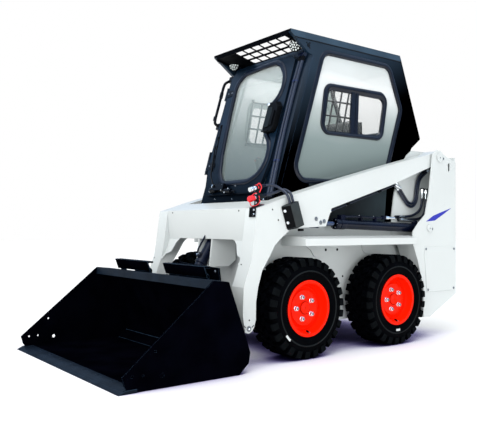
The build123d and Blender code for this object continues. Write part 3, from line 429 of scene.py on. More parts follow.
def round_poly(points, radii, seg=8):
    """Closed outline with rounded corners, as many points at each corner as seg + 1."""
    out = []
    n = len(points)
    if not hasattr(radii, "__len__"):
        radii = [radii] * n
    for i in range(n):
        p = Vector(points[i])
        a = (Vector(points[i - 1]) - p)
        b = (Vector(points[(i + 1) % n]) - p)
        la, lb = a.length, b.length
        a.normalize()
        b.normalize()
        turn = math.pi - a.angle(b)
        if turn < 1e-4 or radii[i] <= 0:
            out += [p.copy()] * (seg + 1)
            continue
        t = min(radii[i] * math.tan(turn / 2), la * 0.48, lb * 0.48)
        r = t / math.tan(turn / 2)
        centre = p + (a + b).normalized() * (r / math.cos(turn / 2))
        v0 = p + a * t - centre
        v1 = p + b * t - centre
        ang = math.atan2(v0.x * v1.y - v0.y * v1.x, v0.dot(v1))
        for k in range(seg + 1):
            th = ang * k / seg
            c, s = math.cos(th), math.sin(th)
            out.append(centre + Vector((v0.x * c - v0.y * s, v0.x * s + v0.y * c)))
    return out


def loop_normals(loop):
    """Outward offset directions of a closed 2D loop."""
    n = len(loop)
    area = sum(loop[i].x * loop[(i + 1) % n].y - loop[(i + 1) % n].x * loop[i].y for i in range(n))
    sgn = 1 if area > 0 else -1
    norms = []
    for i in range(n):
        a = loop[i] - loop[i - 1]
        k = i - 1
        while a.length < 1e-6:
            k -= 1
            a = loop[i] - loop[k]
        b = loop[(i + 1) % n] - loop[i]
        k = i + 1
        while b.length < 1e-6:
            k += 1
            b = loop[k % n] - loop[i]
        na = Vector((a.y, -a.x)).normalized() * sgn
        nb = Vector((b.y, -b.x)).normalized() * sgn
        m = (na + nb)
        m = m / max(0.2, m.dot(na))
        norms.append(m)
    return norms


def round_path(points, radius, seg=6):
    """Open 3D route with arcs at its corners."""
    pts = [Vector(p) for p in points]
    out = [pts[0]]
    for i in range(1, len(pts) - 1):
        p = pts[i]
        a, b = pts[i - 1] - p, pts[i + 1] - p
        la, lb = a.length, b.length
        a.normalize()
        b.normalize()
        turn = math.pi - a.angle(b)
        if turn < 0.02:
            out.append(p)
            continue
        t = min(radius * math.tan(turn / 2), la * 0.48, lb * 0.48)
        for k in range(seg + 1):
            s = k / seg
            q0, q1 = p + a * t * (1 - s), p + b * t * s
            out.append(q0.lerp(q1, s))
    out.append(pts[-1])
    return out


class Shape:
    """Joined mesh of many small solids."""

    def __init__(self):
        self.v, self.f, self.m = [], [], []

    def add(self, verts, faces, mat=0):
        k = len(self.v)
        self.v += [Vector(p) for p in verts]
        self.f += [[k + i for i in f] for f in faces]
        self.m += [mat] * len(faces)
        return self

    def prismoid(self, a, b, mat=0):
        """Two like loops of points joined into a closed solid."""
        n = len(a)
        faces = [list(range(n))[::-1], list(range(n, 2 * n))]
        faces += [[i, (i + 1) % n, n + (i + 1) % n, n + i] for i in range(n)]
        return self.add(list(a) + list(b), faces, mat)

    def box(self, x0, x1, y0, y1, z0, z1, mat=0):
        a = [P(x0, y0, z0), P(x1, y0, z0), P(x1, y1, z0), P(x0, y1, z0)]
        b = [P(x0, y0, z1), P(x1, y0, z1), P(x1, y1, z1), P(x0, y1, z1)]
        return self.prismoid(a, b, mat)

    def obox(self, centre, ex, ey, ez, mat=0):
        """Box on half-axes ex, ey, ez."""
        a = [centre + ex * i + ey * j - ez for i, j in ((-1, -1), (1, -1), (1, 1), (-1, 1))]
        b = [p + ez * 2 for p in a]
        return self.prismoid(a, b, mat)

    def cyl(self, a, b, r, mat=0, seg=20, r2=None, turn=0.0):
        a, b = Vector(a), Vector(b)
        r, r2 = r * 0.001, (r if r2 is None else r2) * 0.001
        u, w = perp(b - a)
        ring = [(math.cos(2 * math.pi * i / seg + turn), math.sin(2 * math.pi * i / seg + turn)) for i in range(seg)]
        return self.prismoid([a + u * (c * r) + w * (s * r) for c, s in ring],
                             [b + u * (c * r2) + w * (s * r2) for c, s in ring], mat)

    def lathe(self, origin, axis, profile, mat=0, seg=32, mats=None):
        """Profile of (distance along axis, radius) turned about the axis, closed on itself."""
        axis = Vector(axis).normalized()
        u, w = perp(axis)
        n = len(profile)
        verts = []
        for i in range(seg):
            c, s = math.cos(2 * math.pi * i / seg), math.sin(2 * math.pi * i / seg)
            d = u * c + w * s
            verts += [Vector(origin) + axis * (h * 0.001) + d * (r * 0.001) for h, r in profile]
        k = len(self.v)
        self.v += verts
        for i in range(seg):
            j = (i + 1) % seg
            for q in range(n):
                p = (q + 1) % n
                self.f.append([k + i * n + q, k + i * n + p, k + j * n + p, k + j * n + q])
                self.m.append(mats[q] if mats else mat)
        return self

    def tube(self, pts, r, mat=0, seg=10, flat=1.0):
        pts = [Vector(p) for p in pts]
        r = r * 0.001
        u, w = perp(pts[1] - pts[0])
        rings = []
        for i, p in enumerate(pts):
            d = (pts[min(i + 1, len(pts) - 1)] - pts[max(i - 1, 0)]).normalized()
            u = (u - d * u.dot(d)).normalized()
            w = d.cross(u)
            rings.append([p + u * (r * math.cos(t)) + w * (r * flat * math.sin(t))
                          for t in [2 * math.pi * k / seg for k in range(seg)]])
        verts = [q for ring in rings for q in ring]
        faces = [list(range(seg))[::-1], [(len(pts) - 1) * seg + k for k in range(seg)]]
        for i in range(len(pts) - 1):
            for k in range(seg):
                j = (k + 1) % seg
                faces.append([i * seg + k, i * seg + j, (i + 1) * seg + j, (i + 1) * seg + k])
        return self.add(verts, faces, mat)

    def sweep(self, loop, place, section, mat=0, mats=None):
        """Section of (outward offset, height) carried round a closed 2D loop."""
        norms = loop_normals(loop)
        n, k = len(loop), len(section)
        verts = []
        for p, m in zip(loop, norms):
            for o, h in section:
                q = p + m * o
                verts.append(place(q.x, q.y, h))
        base = len(self.v)
        self.v += verts
        for i in range(n):
            j = (i + 1) % n
            for s in range(k):
                t = (s + 1) % k
                self.f.append([base + i * k + s, base + i * k + t, base + j * k + t, base + j * k + s])
                self.m.append(mats[s] if mats else mat)
        return self

    def plate(self, outline, holes, place, h0, h1, mat=0):
        """Flat plate of an outline with holes, between two heights."""
        loops = [[Vector((p[0], p[1], 0)) for p in lp] for lp in [outline] + list(holes)]
        flat = [p for lp in loops for p in lp]
        tris = tessellate_polygon(loops)
        n = len(flat)
        verts = [place(p.x, p.y, h0) for p in flat] + [place(p.x, p.y, h1) for p in flat]
        faces = [list(t) for t in tris] + [[n + i for i in reversed(t)] for t in tris]
        s = 0
        for lp in loops:
            m = len(lp)
            for i in range(m):
                a, b = s + i, s + (i + 1) % m
                faces.append([a, b, n + b, n + a])
            s += m
        return self.add(verts, faces, mat)

    def bolt(self, at, axis, r=7.0, h=5.0, mat=0, washer=None, seg=6):
        """Hex head on a washer, standing on a surface."""
        axis = Vector(axis).normalized()
        at = Vector(at)
        if washer is not None:
            self.cyl(at, at + axis * 0.0012, r * 1.35, washer, 18)
        self.cyl(at + axis * 0.001, at + axis * (h * 0.0008), r, mat, seg)
        self.cyl(at + axis * (h * 0.0008), at + axis * (h * 0.001), r, mat, seg, r2=r * 0.82)
        return self

    def dome(self, at, axis, r=6.0, h=3.0, mat=0, seg=14):
        """Button-head screw."""
        axis = Vector(axis).normalized()
        prof = [(0, 0.001), (0, r), (h * 0.45, r * 0.93), (h * 0.8, r * 0.66), (h, r * 0.3), (h * 0.75, 0.001)]
        return self.lathe(at, axis, prof, mat, seg)

    def mirror(self):
        """The same on the other side of the machine."""
        k = len(self.v)
        self.v += [Vector((-p.x, p.y, p.z)) for p in self.v[:k]]
        self.f += [[k + i for i in reversed(f)] for f in self.f]
        self.m += list(self.m)
        return self

    def build(self, name, body, mats, bevel=0.0, angle=32, replaces=(), subsurf=0, slot=None, ride=True):
        me = bpy.data.meshes.new(name)
        bm = bmesh.new()
        vs = [bm.verts.new(p) for p in self.v]
        for f, m in zip(self.f, self.m):
            seen = []
            for i in f:
                if i not in seen:
                    seen.append(i)
            if len(seen) < 3:
                continue
            try:
                face = bm.faces.new([vs[i] for i in seen])
            except ValueError:
                continue
            face.material_index = m
        bmesh.ops.remove_doubles(bm, verts=bm.verts, dist=0.000002)
        bmesh.ops.dissolve_degenerate(bm, dist=0.000002, edges=bm.edges)
        bmesh.ops.recalc_face_normals(bm, faces=bm.faces)
        for f in bm.faces:
            f.smooth = True
        bm.to_mesh(me)
        bm.free()
        for m in mats:
            me.materials.append(M[m])
        me.set_sharp_from_angle(angle=math.radians(angle))
        o = bpy.data.objects.new(name, me)
        scene.collection.objects.link(o)
        if bevel:
            b = o.modifiers.new("edges", "BEVEL")
            b.width = bevel * 0.001
            b.segments = 2
            b.limit_method = "ANGLE"
            b.angle_limit = math.radians(max(angle, 32))
            b.harden_normals = False
        if subsurf:
            s = o.modifiers.new("smooth", "SUBSURF")
            s.levels = s.render_levels = subsurf
        if ride:
            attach(o, body)
        if replaces:
            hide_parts(*replaces)
        return o


X, Y, Z = Vector((1, 0, 0)), Vector((0, 1, 0)), Vector((0, 0, 1))
NRM = Vector((0, -UPV.z, UPV.y))

# ---- wheels -------------------------------------------------------------
LUGS = 26
# Outer skin of the tyre: (outward from the middle plane, radius).
SKIN = [(93, 152.6), (93.4, 165), (96.4, 168), (98.4, 171.5), (97.6, 176), (100, 181), (103, 192), (104.6, 206), (104.9, 214.5),
        (106.3, 216.8), (106.3, 220.4), (104.8, 223), (104.2, 236), (101.5, 248), (96.5, 260), (90, 270), (80, 276), (60, 277.5)]
SHOULDER = [(46, 274), (46, 295.9), (92, 295.9), (101.5, 288), (106.3, 254), (104.6, 249.5), (98, 252), (90, 264)]
CENTRE = [(3, 274), (3, 295.9), (38, 295.9), (38, 274)]


def sector(S, c, axis, prof, t0, t1, nseg, mats, skew=0.0):
    """Block of a profile (outward, radius) over an arc of the wheel; skew turns its inner end on."""
    u, w = Vector((0, 1, 0)), Vector((0, 0, 1))
    n = len(prof)
    lo, hi = min(p[0] for p in prof), max(p[0] for p in prof)
    k = len(S.v)
    for i in range(nseg + 1):
        for h, r in prof:
            t = t0 + (t1 - t0) * i / nseg + skew * (hi - h) / max(1e-6, hi - lo)
            S.v.append(c + axis * (h * 0.001) + (u * math.cos(t) + w * math.sin(t)) * (r * 0.001))
    S.f.append([k + q for q in range(n)])
    S.m.append(mats[-1])
    S.f.append([k + nseg * n + q for q in reversed(range(n))])
    S.m.append(mats[-1])
    for i in range(nseg):
        for q in range(n):
            p = (q + 1) % n
            S.f.append([k + i * n + q, k + i * n + p, k + (i + 1) * n + p, k + (i + 1) * n + q])
            S.m.append(mats[q])


def tyre(name, side, y):
    S = Shape()
    c = P(side * 513.5, y, 296.0)
    axis = X * side
    skin = SKIN + [(-h, r) for h, r in reversed(SKIN)]
    # the bead between 213 and 223 mm radius takes the lighter ring rubber: a painted highlight ring
    mats = [3 if 213 < r < 223 else 1 if abs(h) > 80 else 0 for h, r in skin]
    S.lathe(c, axis, skin, seg=104, mats=mats)
    pitch = 2 * math.pi / LUGS
    for k in range(LUGS):
        t = k * pitch
        for s in (1, -1):
            a = t + (0 if s > 0 else pitch / 2)
            # shoulder faces marked 2 take the lighter lug rubber: painted light on the lug sides
            sm = [0, 0, 2, 2, 2, 0, 0, 0, 0]
            sector(S, c, axis * s, SHOULDER, a, a + pitch * 0.60, 3, sm, skew=-0.02)
            a = t + pitch * (0.48 if s > 0 else 0.98)
            sector(S, c, axis * s, CENTRE, a, a + pitch * 0.66, 3, [0, 0, 0, 0, 0], skew=0.05)
    o = S.build(name + "_tyre_tread", name + "_wheel", ["tyre", "tyre_side", "tyre_lug", "tyre_ring"], bevel=1.3, angle=30,
                replaces=(name + "_tyre",), slot="tyre")
    # plain paint dash on the sidewall, as balance marks are
    D = Shape()
    for ang, r in (((-142, 227),) if name.startswith("front") else ((-96, 198),)):
        t0 = math.radians(ang)
        sector(D, c, axis, [(103.2, r - 7), (105.9, r - 7), (105.4, r + 7), (103.2, r + 7)], t0, t0 + 0.19, 7, [0] * 5)
    D.build(name + "_balance_mark", name + "_wheel", ["mark"], bevel=0.3)
    return o


def rim_trim(name, side, y):
    S = Shape()
    c = P(side * 513.5, y, 296.0)
    axis = X * side

    def at(h, r, ang):
        t = math.radians(ang)
        return c + axis * (h * 0.001) + Vector((0, math.cos(t), math.sin(t))) * (r * 0.001)

    for k in range(5):
        ang = 36 + 72 * k
        a = at(58, 67, ang)
        S.lathe(a, axis, [(-1, 0.01), (-1, 15.5), (1.4, 15.5), (3.4, 13.8), (3.4, 0.01)], mat=0, seg=24)
        S.cyl(a + axis * 0.003, a + axis * 0.015, 13.2, 0, 6, turn=0.3 * k)
        S.lathe(a + axis * 0.015, axis, [(-0.5, 0.01), (-0.5, 12.2), (1.6, 9.6), (2.4, 7.2), (2.4, 0.01)], mat=0, seg=18)
        S.lathe(a + axis * 0.017, axis, [(0, 0.01), (0, 6.4), (5.6, 6.2), (6.8, 5.0), (6.8, 0.01)], mat=1, seg=14)
    # hub cap: shallow dish with a rolled rim and a centre mark
    S.lathe(c + axis * 0.0655, axis, [(0, 0.01), (0, 33), (1.8, 34.5), (3.2, 33), (3.4, 30.5), (2.2, 28.5), (2.0, 5), (1.2, 3.5), (1.2, 0.01)], mat=2, seg=48)
    S.lathe(c + axis * 0.0675, axis, [(0, 0.01), (0, 2.6), (0.6, 2.6), (0.6, 0.01)], mat=3, seg=12)
    S.lathe(c + axis * 0.0655, axis, [(0, 34.8), (0, 37.0), (0.7, 37.0), (0.7, 34.8)], mat=3, seg=48)
    # rolled beads pressed in the dish and in the flange
    for h, r, q in ((57.6, 100.5, 2.4), (43.5, 126.0, 1.6), (100.6, 160.5, 1.7)):
        prof = [(h + q * math.sin(t), r + q * 1.5 * math.cos(t)) for t in [2 * math.pi * i / 8 for i in range(8)]]
        S.lathe(c, axis, prof, mat=2, seg=72)
    # seam between rim and tyre
    S.lathe(c, axis, [(99.2, 165.6), (101.2, 166.4), (101.0, 168.4), (98.0, 168.2)], mat=3, seg=72)
    # valve
    v0, v1 = at(70, 134, -87), at(97, 142, -87)
    S.cyl(v0, v0.lerp(v1, 0.72), 5.2, 3, 12)
    S.cyl(v0.lerp(v1, 0.72), v1, 3.6, 1, 10)
    return S.build(name + "_nuts_and_valve", name + "_wheel", ["steel", "steel_dull", "rim", "tyre"], bevel=0.5, slot="bare_steel")


for nm, sd, yy in (("front_left", 1, 0.0), ("front_right", -1, 0.0), ("rear_left", 1, WHEELBASE), ("rear_right", -1, WHEELBASE)):
    tyre(nm, sd, yy)
    rim_trim(nm, sd, yy)

# ---- cab sides ----------------------------------------------------------
OPENING = [((326, 1895), 75), ((955, 1895), 75), ((1078, 1610), 70), ((893, 1074), 60), ((60, 1074), 80)]
PANE_OUT = [(333, 1708), (955, 1717), (891, 1372), (284, 1369)]
PANE_IN = [(375, 1666), (916, 1666), (867, 1409), (329, 1394)]
opening_loop = round_poly([p for p, r in OPENING], [r for p, r in OPENING], 10)
pane_out = round_poly(PANE_OUT, 74, 8)
pane_in = round_poly(PANE_IN, 40, 8)
SIDES = (("left", left, 1), ("right", right, -1))


def mixed(t):
    return [a.lerp(b, t) for a, b in zip(pane_out, pane_in)]


def rails(S, place, table, mats):
    """Loops between the window's outer and inner outline joined into a frame: (share inward, x)."""
    loops = [[place(q.x, q.y, x) for q in mixed(t)] for t, x in table]
    n, k = len(loops[0]), len(loops)
    base = len(S.v)
    for lp in loops:
        S.v += lp
    for s in range(k):
        t = (s + 1) % k
        for i in range(n):
            j = (i + 1) % n
            S.f.append([base + s * n + i, base + s * n + j, base + t * n + j, base + t * n + i])
            S.m.append(mats[s])


def slab(S, place, quad, x0, x1, mat=0):
    a = [place(y, z, x0) for y, z in quad]
    b = [place(y, z, x1) for y, z in quad]
    S.prismoid(a, b, mat)


for sd, place, s in SIDES:
    # rubber round the big opening, outside and in
    S = Shape()
    S.sweep(opening_loop, place, [(-5, 405), (-6, 411), (-3, 415.5), (2, 418), (9, 418.5), (17, 417), (24, 414), (28, 411.2), (28, 410.5), (-1, 410.5), (-1, 405)])
    S.sweep(opening_loop, place, [(-5, 395), (-5, 386), (0, 382.5), (12, 382.5), (16, 385.8), (-1, 386.4), (-1, 395)], 1)
    S.sweep(opening_loop, place, [(-9, 402.4), (-8, 405.5), (-3.5, 406.5), (-3.5, 402.4)])
    S.build(sd + "_window_seal", "chassis", ["seal", "liner_dark"], bevel=0.0, angle=60)
    # fixed glass with the sliding window's hole
    G = Shape()
    inset = [p - m * 0.4 for p, m in zip(opening_loop, loop_normals(opening_loop))]
    G.plate(inset, [mixed(0.35)], place, 396.5, 401.5)
    G.build(sd + "_fixed_glass", "chassis", ["glass_side"], bevel=0.0, replaces=("side_windows",), slot="window_glass")
    # sliding window: frame, two panes, stiles
    S = Shape()
    rails(S, place, [(0.0, 402), (0.03, 408), (0.12, 412.5), (0.32, 414.5), (0.55, 413.5), (0.72, 410.5), (0.80, 406), (1.0, 404),
                     (1.0, 388), (0.6, 384.5), (0.2, 386), (0.0, 395.9), (0.3, 396.2), (0.3, 401.8)],
          [0, 0, 0, 0, 0, 0, 0, 0, 1, 1, 1, 1, 0, 0])
    slab(S, place, [(585, 1684), (616, 1684), (602, 1392), (571, 1392)], 397, 409.5)
    slab(S, place, [(616, 1684), (629, 1684), (615, 1392), (602, 1392)], 399, 404)
    slab(S, place, [(629, 1684), (655, 1684), (641, 1392), (615, 1392)], 391, 407)
    slab(S, place, [(655, 1684), (660, 1684), (646, 1392), (641, 1392)], 397, 403)
    # pull on the front sash
    slab(S, place, [(566, 1560), (577, 1560), (572, 1480), (561, 1480)], 409, 413.5)
    S.build(sd + "_sliding_window_frame", "chassis", ["seal", "liner_dark"], bevel=0.8, angle=40)
    G = Shape()
    G.plate([Vector((330, 1400)), Vector((374, 1664)), Vector((612, 1672)), Vector((598, 1402))], [], place, 399, 402.5)
    G.plate([Vector((620, 1400)), Vector((632, 1672)), Vector((914, 1664)), Vector((865, 1411))], [], place, 392.5, 396)
    G.build(sd + "_sliding_panes", "chassis", ["glass_pane"], bevel=0.0, slot="window_glass")
    # guard mesh inside the front half
    S = Shape()
    for a, b in (((453, 1690), (386, 1400)), ((523, 1692), (455, 1400)), ((590, 1692), (521, 1402)),
                 ((345, 1599), (600, 1601)), ((325, 1502), (600, 1504))):
        S.cyl(place(*a, 380), place(*b, 380), 6.2, 0, 10)
    for a, b in (((362, 1700), (300, 1390)), ((612, 1704), (590, 1396)), ((362, 1700), (612, 1704)), ((300, 1390), (590, 1396))):
        S.cyl(place(*a, 380), place(*b, 380), 6.2, 0, 10)
    for y, z in ((366, 1712), (606, 1716), (302, 1380), (588, 1384)):
        S.box(*sorted((s * 374, s * 386)), y - 9, y + 9, z - 9, z + 9, 0)
    S.build(sd + "_window_guard", "chassis", ["cab_dark"], bevel=0.0)
    # inner trim
    S = Shape()
    wall = [(-84, 912), (196, 1800), (222, 1902), (292, 1902), (446, 1962), (1072, 1962), (1278, 1424), (1190, 1356), (1038, 1110), (998, 930)]
    S.plate(wall, [[p + m * 19 for p, m in zip(opening_loop, loop_normals(opening_loop))]], place, 381.5, 385.6)
    S.build(sd + "_inner_trim", "chassis", ["liner"], bevel=0.0)
    # roof-edge drip rail in a lighter slate, a painted highlight along the roof edge; corner screws and panel seam on
    # the outside
    S = Shape()
    band = [(32.5, 1985), (32.5, 1999.6), (1074, 1999.6), (1092, 1960), (66, 1960)]
    S.prismoid([place(y, z, 411.0) for y, z in band], [place(y, z, 413.4) for y, z in band], 2)
    # thin black rod under the drip rail: a painted shadow line
    S.tube([place(72, 1956, 411.4), place(1090, 1956, 411.4)], 3.4, 1, 8)
    S.tube([place(1084, 1972, 411.6), place(1298, 1424, 411.6)], 3.0, 0, 8)
    for y, z in ((196, 1938), (196, 1906), (170, 1936)):
        S.dome(place(y, z, 411), X * s, 5.5, 2.4, 1)
    S.cyl(place(184, 1921, 408), place(184, 1921, 411.8), 13.5, 1, 20)
    # mottled grey-green cover plate low on the side, behind the lift arm
    low_plate = [(150, 800), (905, 800), (930, 1052), (190, 1052)]
    S.prismoid([place(y, z, 410.8) for y, z in low_plate], [place(y, z, 412.2) for y, z in low_plate], 3)
    S.build(sd + "_cab_edge_trim", "chassis", ["cab_side", "cab_dark", "cab_rail", "worn_slate"], bevel=0.0)

# roof liner, dome lamp, rear seal
S = Shape()
S.box(-380, 380, 444, 1068, 1960, 1966, 0)
S.box(-372, 372, 1002, 1014, 935, 1150, 0)
S.box(-60, 60, 560, 640, 1946, 1960, 1)
S.build("roof_liner", "chassis", ["liner", "plastic"], bevel=2.0)
RN = Vector((0, 567, 222)).normalized()
RV = Vector((0, -RN.z, RN.y))


def rear(u, v, h):
    return P(0, 1192, 1701.5) + X * (u * 0.001) + RV * (v * 0.001) + RN * (h * 0.001)


rear_loop = round_poly([(-300, -215), (300, -215), (300, 215), (-300, 215)], 50, 8)
S = Shape()
S.sweep(rear_loop, rear, [(-6, -2), (-7, 3), (-3, 7), (6, 8), (16, 5), (20, 0.2), (20, -1), (-1, -1), (-1, -2)])
S.sweep(rear_loop, rear, [(-6, -20), (-6, -26), (10, -26), (14, -19.9), (-1, -19.8)])
S.build("rear_window_seal", "chassis", ["seal"], bevel=0.0, angle=60)
S = Shape()
S.plate([(-384, -282), (384, -282), (384, 296), (-384, 296)], [[p + m * 15 for p, m in zip(rear_loop, loop_normals(rear_loop))]], rear, -25, -20.2)
S.build("rear_inner_trim", "chassis", ["liner"], bevel=0.0)

# ---- cab door -----------------------------------------------------------
GLASS = [(265, 1750), (208, 1821), (154, 1850), (-1, 1847), (-188, 1831), (-248, 1768), (-232, 1529),
         (-201, 1260), (-171, 1145), (-120, 1065), (157, 1066), (253, 1108), (293, 1192), (290, 1264),
         (264, 1314), (212, 1369), (195, 1428), (194, 1545), (265, 1617), (278, 1681)]
glass_loop = round_poly(GLASS, 130, 4)
DOOR = [(-285, 985), (290, 985), (338, 1200), (338, 1840), (296, 1874), (-300, 1874), (-338, 1840), (-338, 1200)]
S = Shape()
S.sweep(glass_loop, lambda u, v, h: front(u, v, h), [(-9, 24), (-10, 31), (-6, 36), (1, 39), (9, 39.5), (18, 37.5), (25, 33), (26, 30.0), (26, 29.2), (2, 29.2), (2, 24)])
S.sweep(glass_loop, lambda u, v, h: front(u, v, h), [(-9, 12), (-9, 3), (14, 3), (16, 6.3), (2, 6.3), (2, 12)])
S.build("door_glass_seal", "cab_door_leaf", ["seal"], bevel=0.0, angle=60)
door_loop = round_poly(DOOR, 12, 3)
S = Shape()
S.sweep(door_loop, lambda u, v, h: front(u, v, h), [(-12, 6.2), (-12, 1.2), (-4, 0.8), (0.5, 3), (1.5, 6.2)])
S.sweep(door_loop, lambda u, v, h: front(u, v, h), [(-1.5, 28), (-1.5, 30.8), (1.6, 30.8), (1.6, 26)])
S.build("door_edge_seal", "cab_door_leaf", ["cab_dark"], bevel=0.0, angle=60)

# latch case, button, inner pull; hinge leaves; wiper; small bolts
S = Shape()
case = [(226, 1566), (296, 1566), (331, 1528), (333, 1402), (314, 1362), (244, 1360), (224, 1388)]
a = [front(x, z, 30) for x, z in case]
b = [front(x + (278 - x) * 0.06, z + (1462 - z) * 0.04, 68) for x, z in case]
S.prismoid(a, b, 0)
plate = [(240, 1530), (282, 1524), (290, 1500), (286, 1400), (246, 1396), (238, 1420)]
S.prismoid([front(x, z, 68) for x, z in plate], [front(x + (264 - x) * 0.08, z, 74) for x, z in plate], 1)
S.obox(front(302, 1455, 71), X * 0.011, UPV * 0.052, NRM * 0.005, 0)
S.lathe(front(236, 1548, 67), NRM, [(0, 0.01), (0, 11.5), (3, 11.5), (7, 9.5), (9.5, 6.0), (10.2, 0.01)], 2, 20)
S.tube(round_path([front(236, 1380, 60), front(236, 1372, 78), front(286, 1368, 78), front(286, 1378, 60)], 14), 5, 0, 10)
S.build("door_latch", "cab_door_leaf", ["plastic", "slate", "steel"], bevel=2.2, angle=28)
S = Shape()
for z0 in (1165.0, 1690.0):
    plate = [(-334, z0 + 3), (-262, z0 + 8), (-254, z0 + 28), (-262, z0 + 48), (-334, z0 + 54)]
    S.prismoid([front(x, z, 30) for x, z in plate], [front(x, z, 34.5) for x, z in plate], 0)
    for x in (-318, -280):
        S.dome(front(x, z0 + 29, 34.4), NRM, 6.0, 3.0, 1)
S.build("door_hinge_leaves", "cab_door_leaf", ["cab_dark", "steel_dull"], bevel=1.0)
# wiper parked along the glass, its motor on the door's foot
S = Shape()
top, foot, pivot = front(-268, 1480, 54), front(-232, 1150, 54), front(-150, 1040, 52)
S.tube([top, top.lerp(foot, 0.5) + NRM * 0.002, foot], 5.0, 0, 8, flat=1.7)
for t in (0.04, 0.3, 0.5, 0.7, 0.96):
    q = top.lerp(foot, t)
    S.obox(q + NRM * 0.006, X * 0.0075, UPV * 0.011, NRM * 0.004, 0)
S.tube([top.lerp(foot, 0.1) + NRM * 0.013, top.lerp(foot, 0.5) + NRM * 0.018, top.lerp(foot, 0.9) + NRM * 0.013], 3.4, 0, 8)
S.tube([top.lerp(foot, 0.5) + NRM * 0.018, foot.lerp(pivot, 0.35) + NRM * 0.022, pivot + NRM * 0.018], 6.0, 0, 8, flat=0.6)
S.lathe(pivot - NRM * 0.022, NRM, [(0, 0.01), (0, 17), (20, 17), (24, 13), (40, 12), (46, 8), (46, 0.01)], 0, 20)
S.lathe(pivot + NRM * 0.022, NRM, [(0, 0.01), (0, 6.5), (5, 6), (5, 0.01)], 1, 12)
S.obox(front(-95, 1032, 48), X * 0.052, UPV * 0.023, NRM * 0.017, 0)
S.cyl(front(-146, 1022, 44), front(-196, 1015, 44), 21, 0, 20)
S.cyl(front(-196, 1015, 44), front(-206, 1013.6, 44), 15, 1, 16)
S.cyl(front(-58, 1010, 44), front(30, 1004, 44), 15, 0, 18)
for x, z in ((-132, 1050), (-60, 1050), (-60, 1014), (-176, 1040), (10, 1020), (-20, 996)):
    S.dome(front(x, z, 62 if x < -30 else 58), NRM, 4.6, 3.2, 1)
S.tube(round_path([front(30, 1004, 44), front(58, 1004, 42), front(60, 990, 36)], 12), 5, 0, 8)
S.build("door_wiper", "cab_door_leaf", ["cab_dark", "steel"], bevel=1.0)
S = Shape()
plate = [(-164, 1022), (-126, 1026), (-118, 1060), (-156, 1060)]
S.prismoid([front(x, z, 38) for x, z in plate], [front(x, z, 42) for x, z in plate], 0)
S.build("wiper_washer_jet", "cab_door_leaf", ["mark"], bevel=1.0)
S = Shape()
for x, z in ((44, 1040), (47, 996), (-230, 1008), (210, 1010), (268, 1160)):
    S.dome(front(x, z, 30), NRM, 6.0, 3.0, 0)
S.build("door_bolts", "cab_door_leaf", ["steel"], bevel=0.4)

# ---- cab front frame, visor, lamps --------------------------------------
S = Shape()
S.tube(round_path([front(-380, 1838, 6), front(-397, 1812, 40), front(-398, 1780, 44), front(-391, 1540, 44), front(-389, 1508, 40), front(-374, 1484, 0)], 24), 10.0, 0, 12)
for z in (1838, 1486):
    S.obox(front(-378, z, 6), X * 0.017, UPV * 0.022, NRM * 0.012, 0)
for z0, z1 in ((1740, 1700), (1560, 1530)):
    S.tube([front(-397, z0, 44), front(-395, z1, 44)], 12.5, 0, 12)
S.build("grab_handle", "chassis", ["cab_dark"], bevel=1.5)
S = Shape()
strip = [(-382, 1300), (-366, 1300), (-356, 1140), (-372, 1136)]
S.prismoid([front(x, z, -6) for x, z in strip], [front(x, z, 22) for x, z in strip], 0)
for x, z in ((-137, 927), (150, 930), (-330, 930), (330, 940)):
    S.dome(front(x, z, 0), NRM, 6.0, 3.0, 1)
for x, z in ((-200, 960), (0, 955), (200, 960)):
    S.dome(front(x, z, 0), NRM, 4.0, 2.0, 1)
S.build("front_frame_trim", "chassis", ["cab_dark", "steel"], bevel=1.0)
S = Shape()
S.box(-411.2, 411.2, 31.2, 38.8, 1985.2, 2000, 0)
S.box(-385.9, 385.9, 31.2, 38.8, 1967.5, 1986, 0)
# turned-down edges under the sloping plate and a stiffener behind its last row of openings
for sgn in (1, -1):
    edge = [(38, 1985.5), (120, 1985.5), (250, 1922), (250, 1908), (38, 1959)]
    S.prismoid([P(sgn * 378.0, y, z) for y, z in edge], [P(sgn * 385.6, y, z) for y, z in edge], 0)
S.box(-385.6, 385.6, 281, 289.8, 1908, 1921.5, 0)
S.build("visor_frame", "chassis", ["visor_dark"], bevel=1.4)


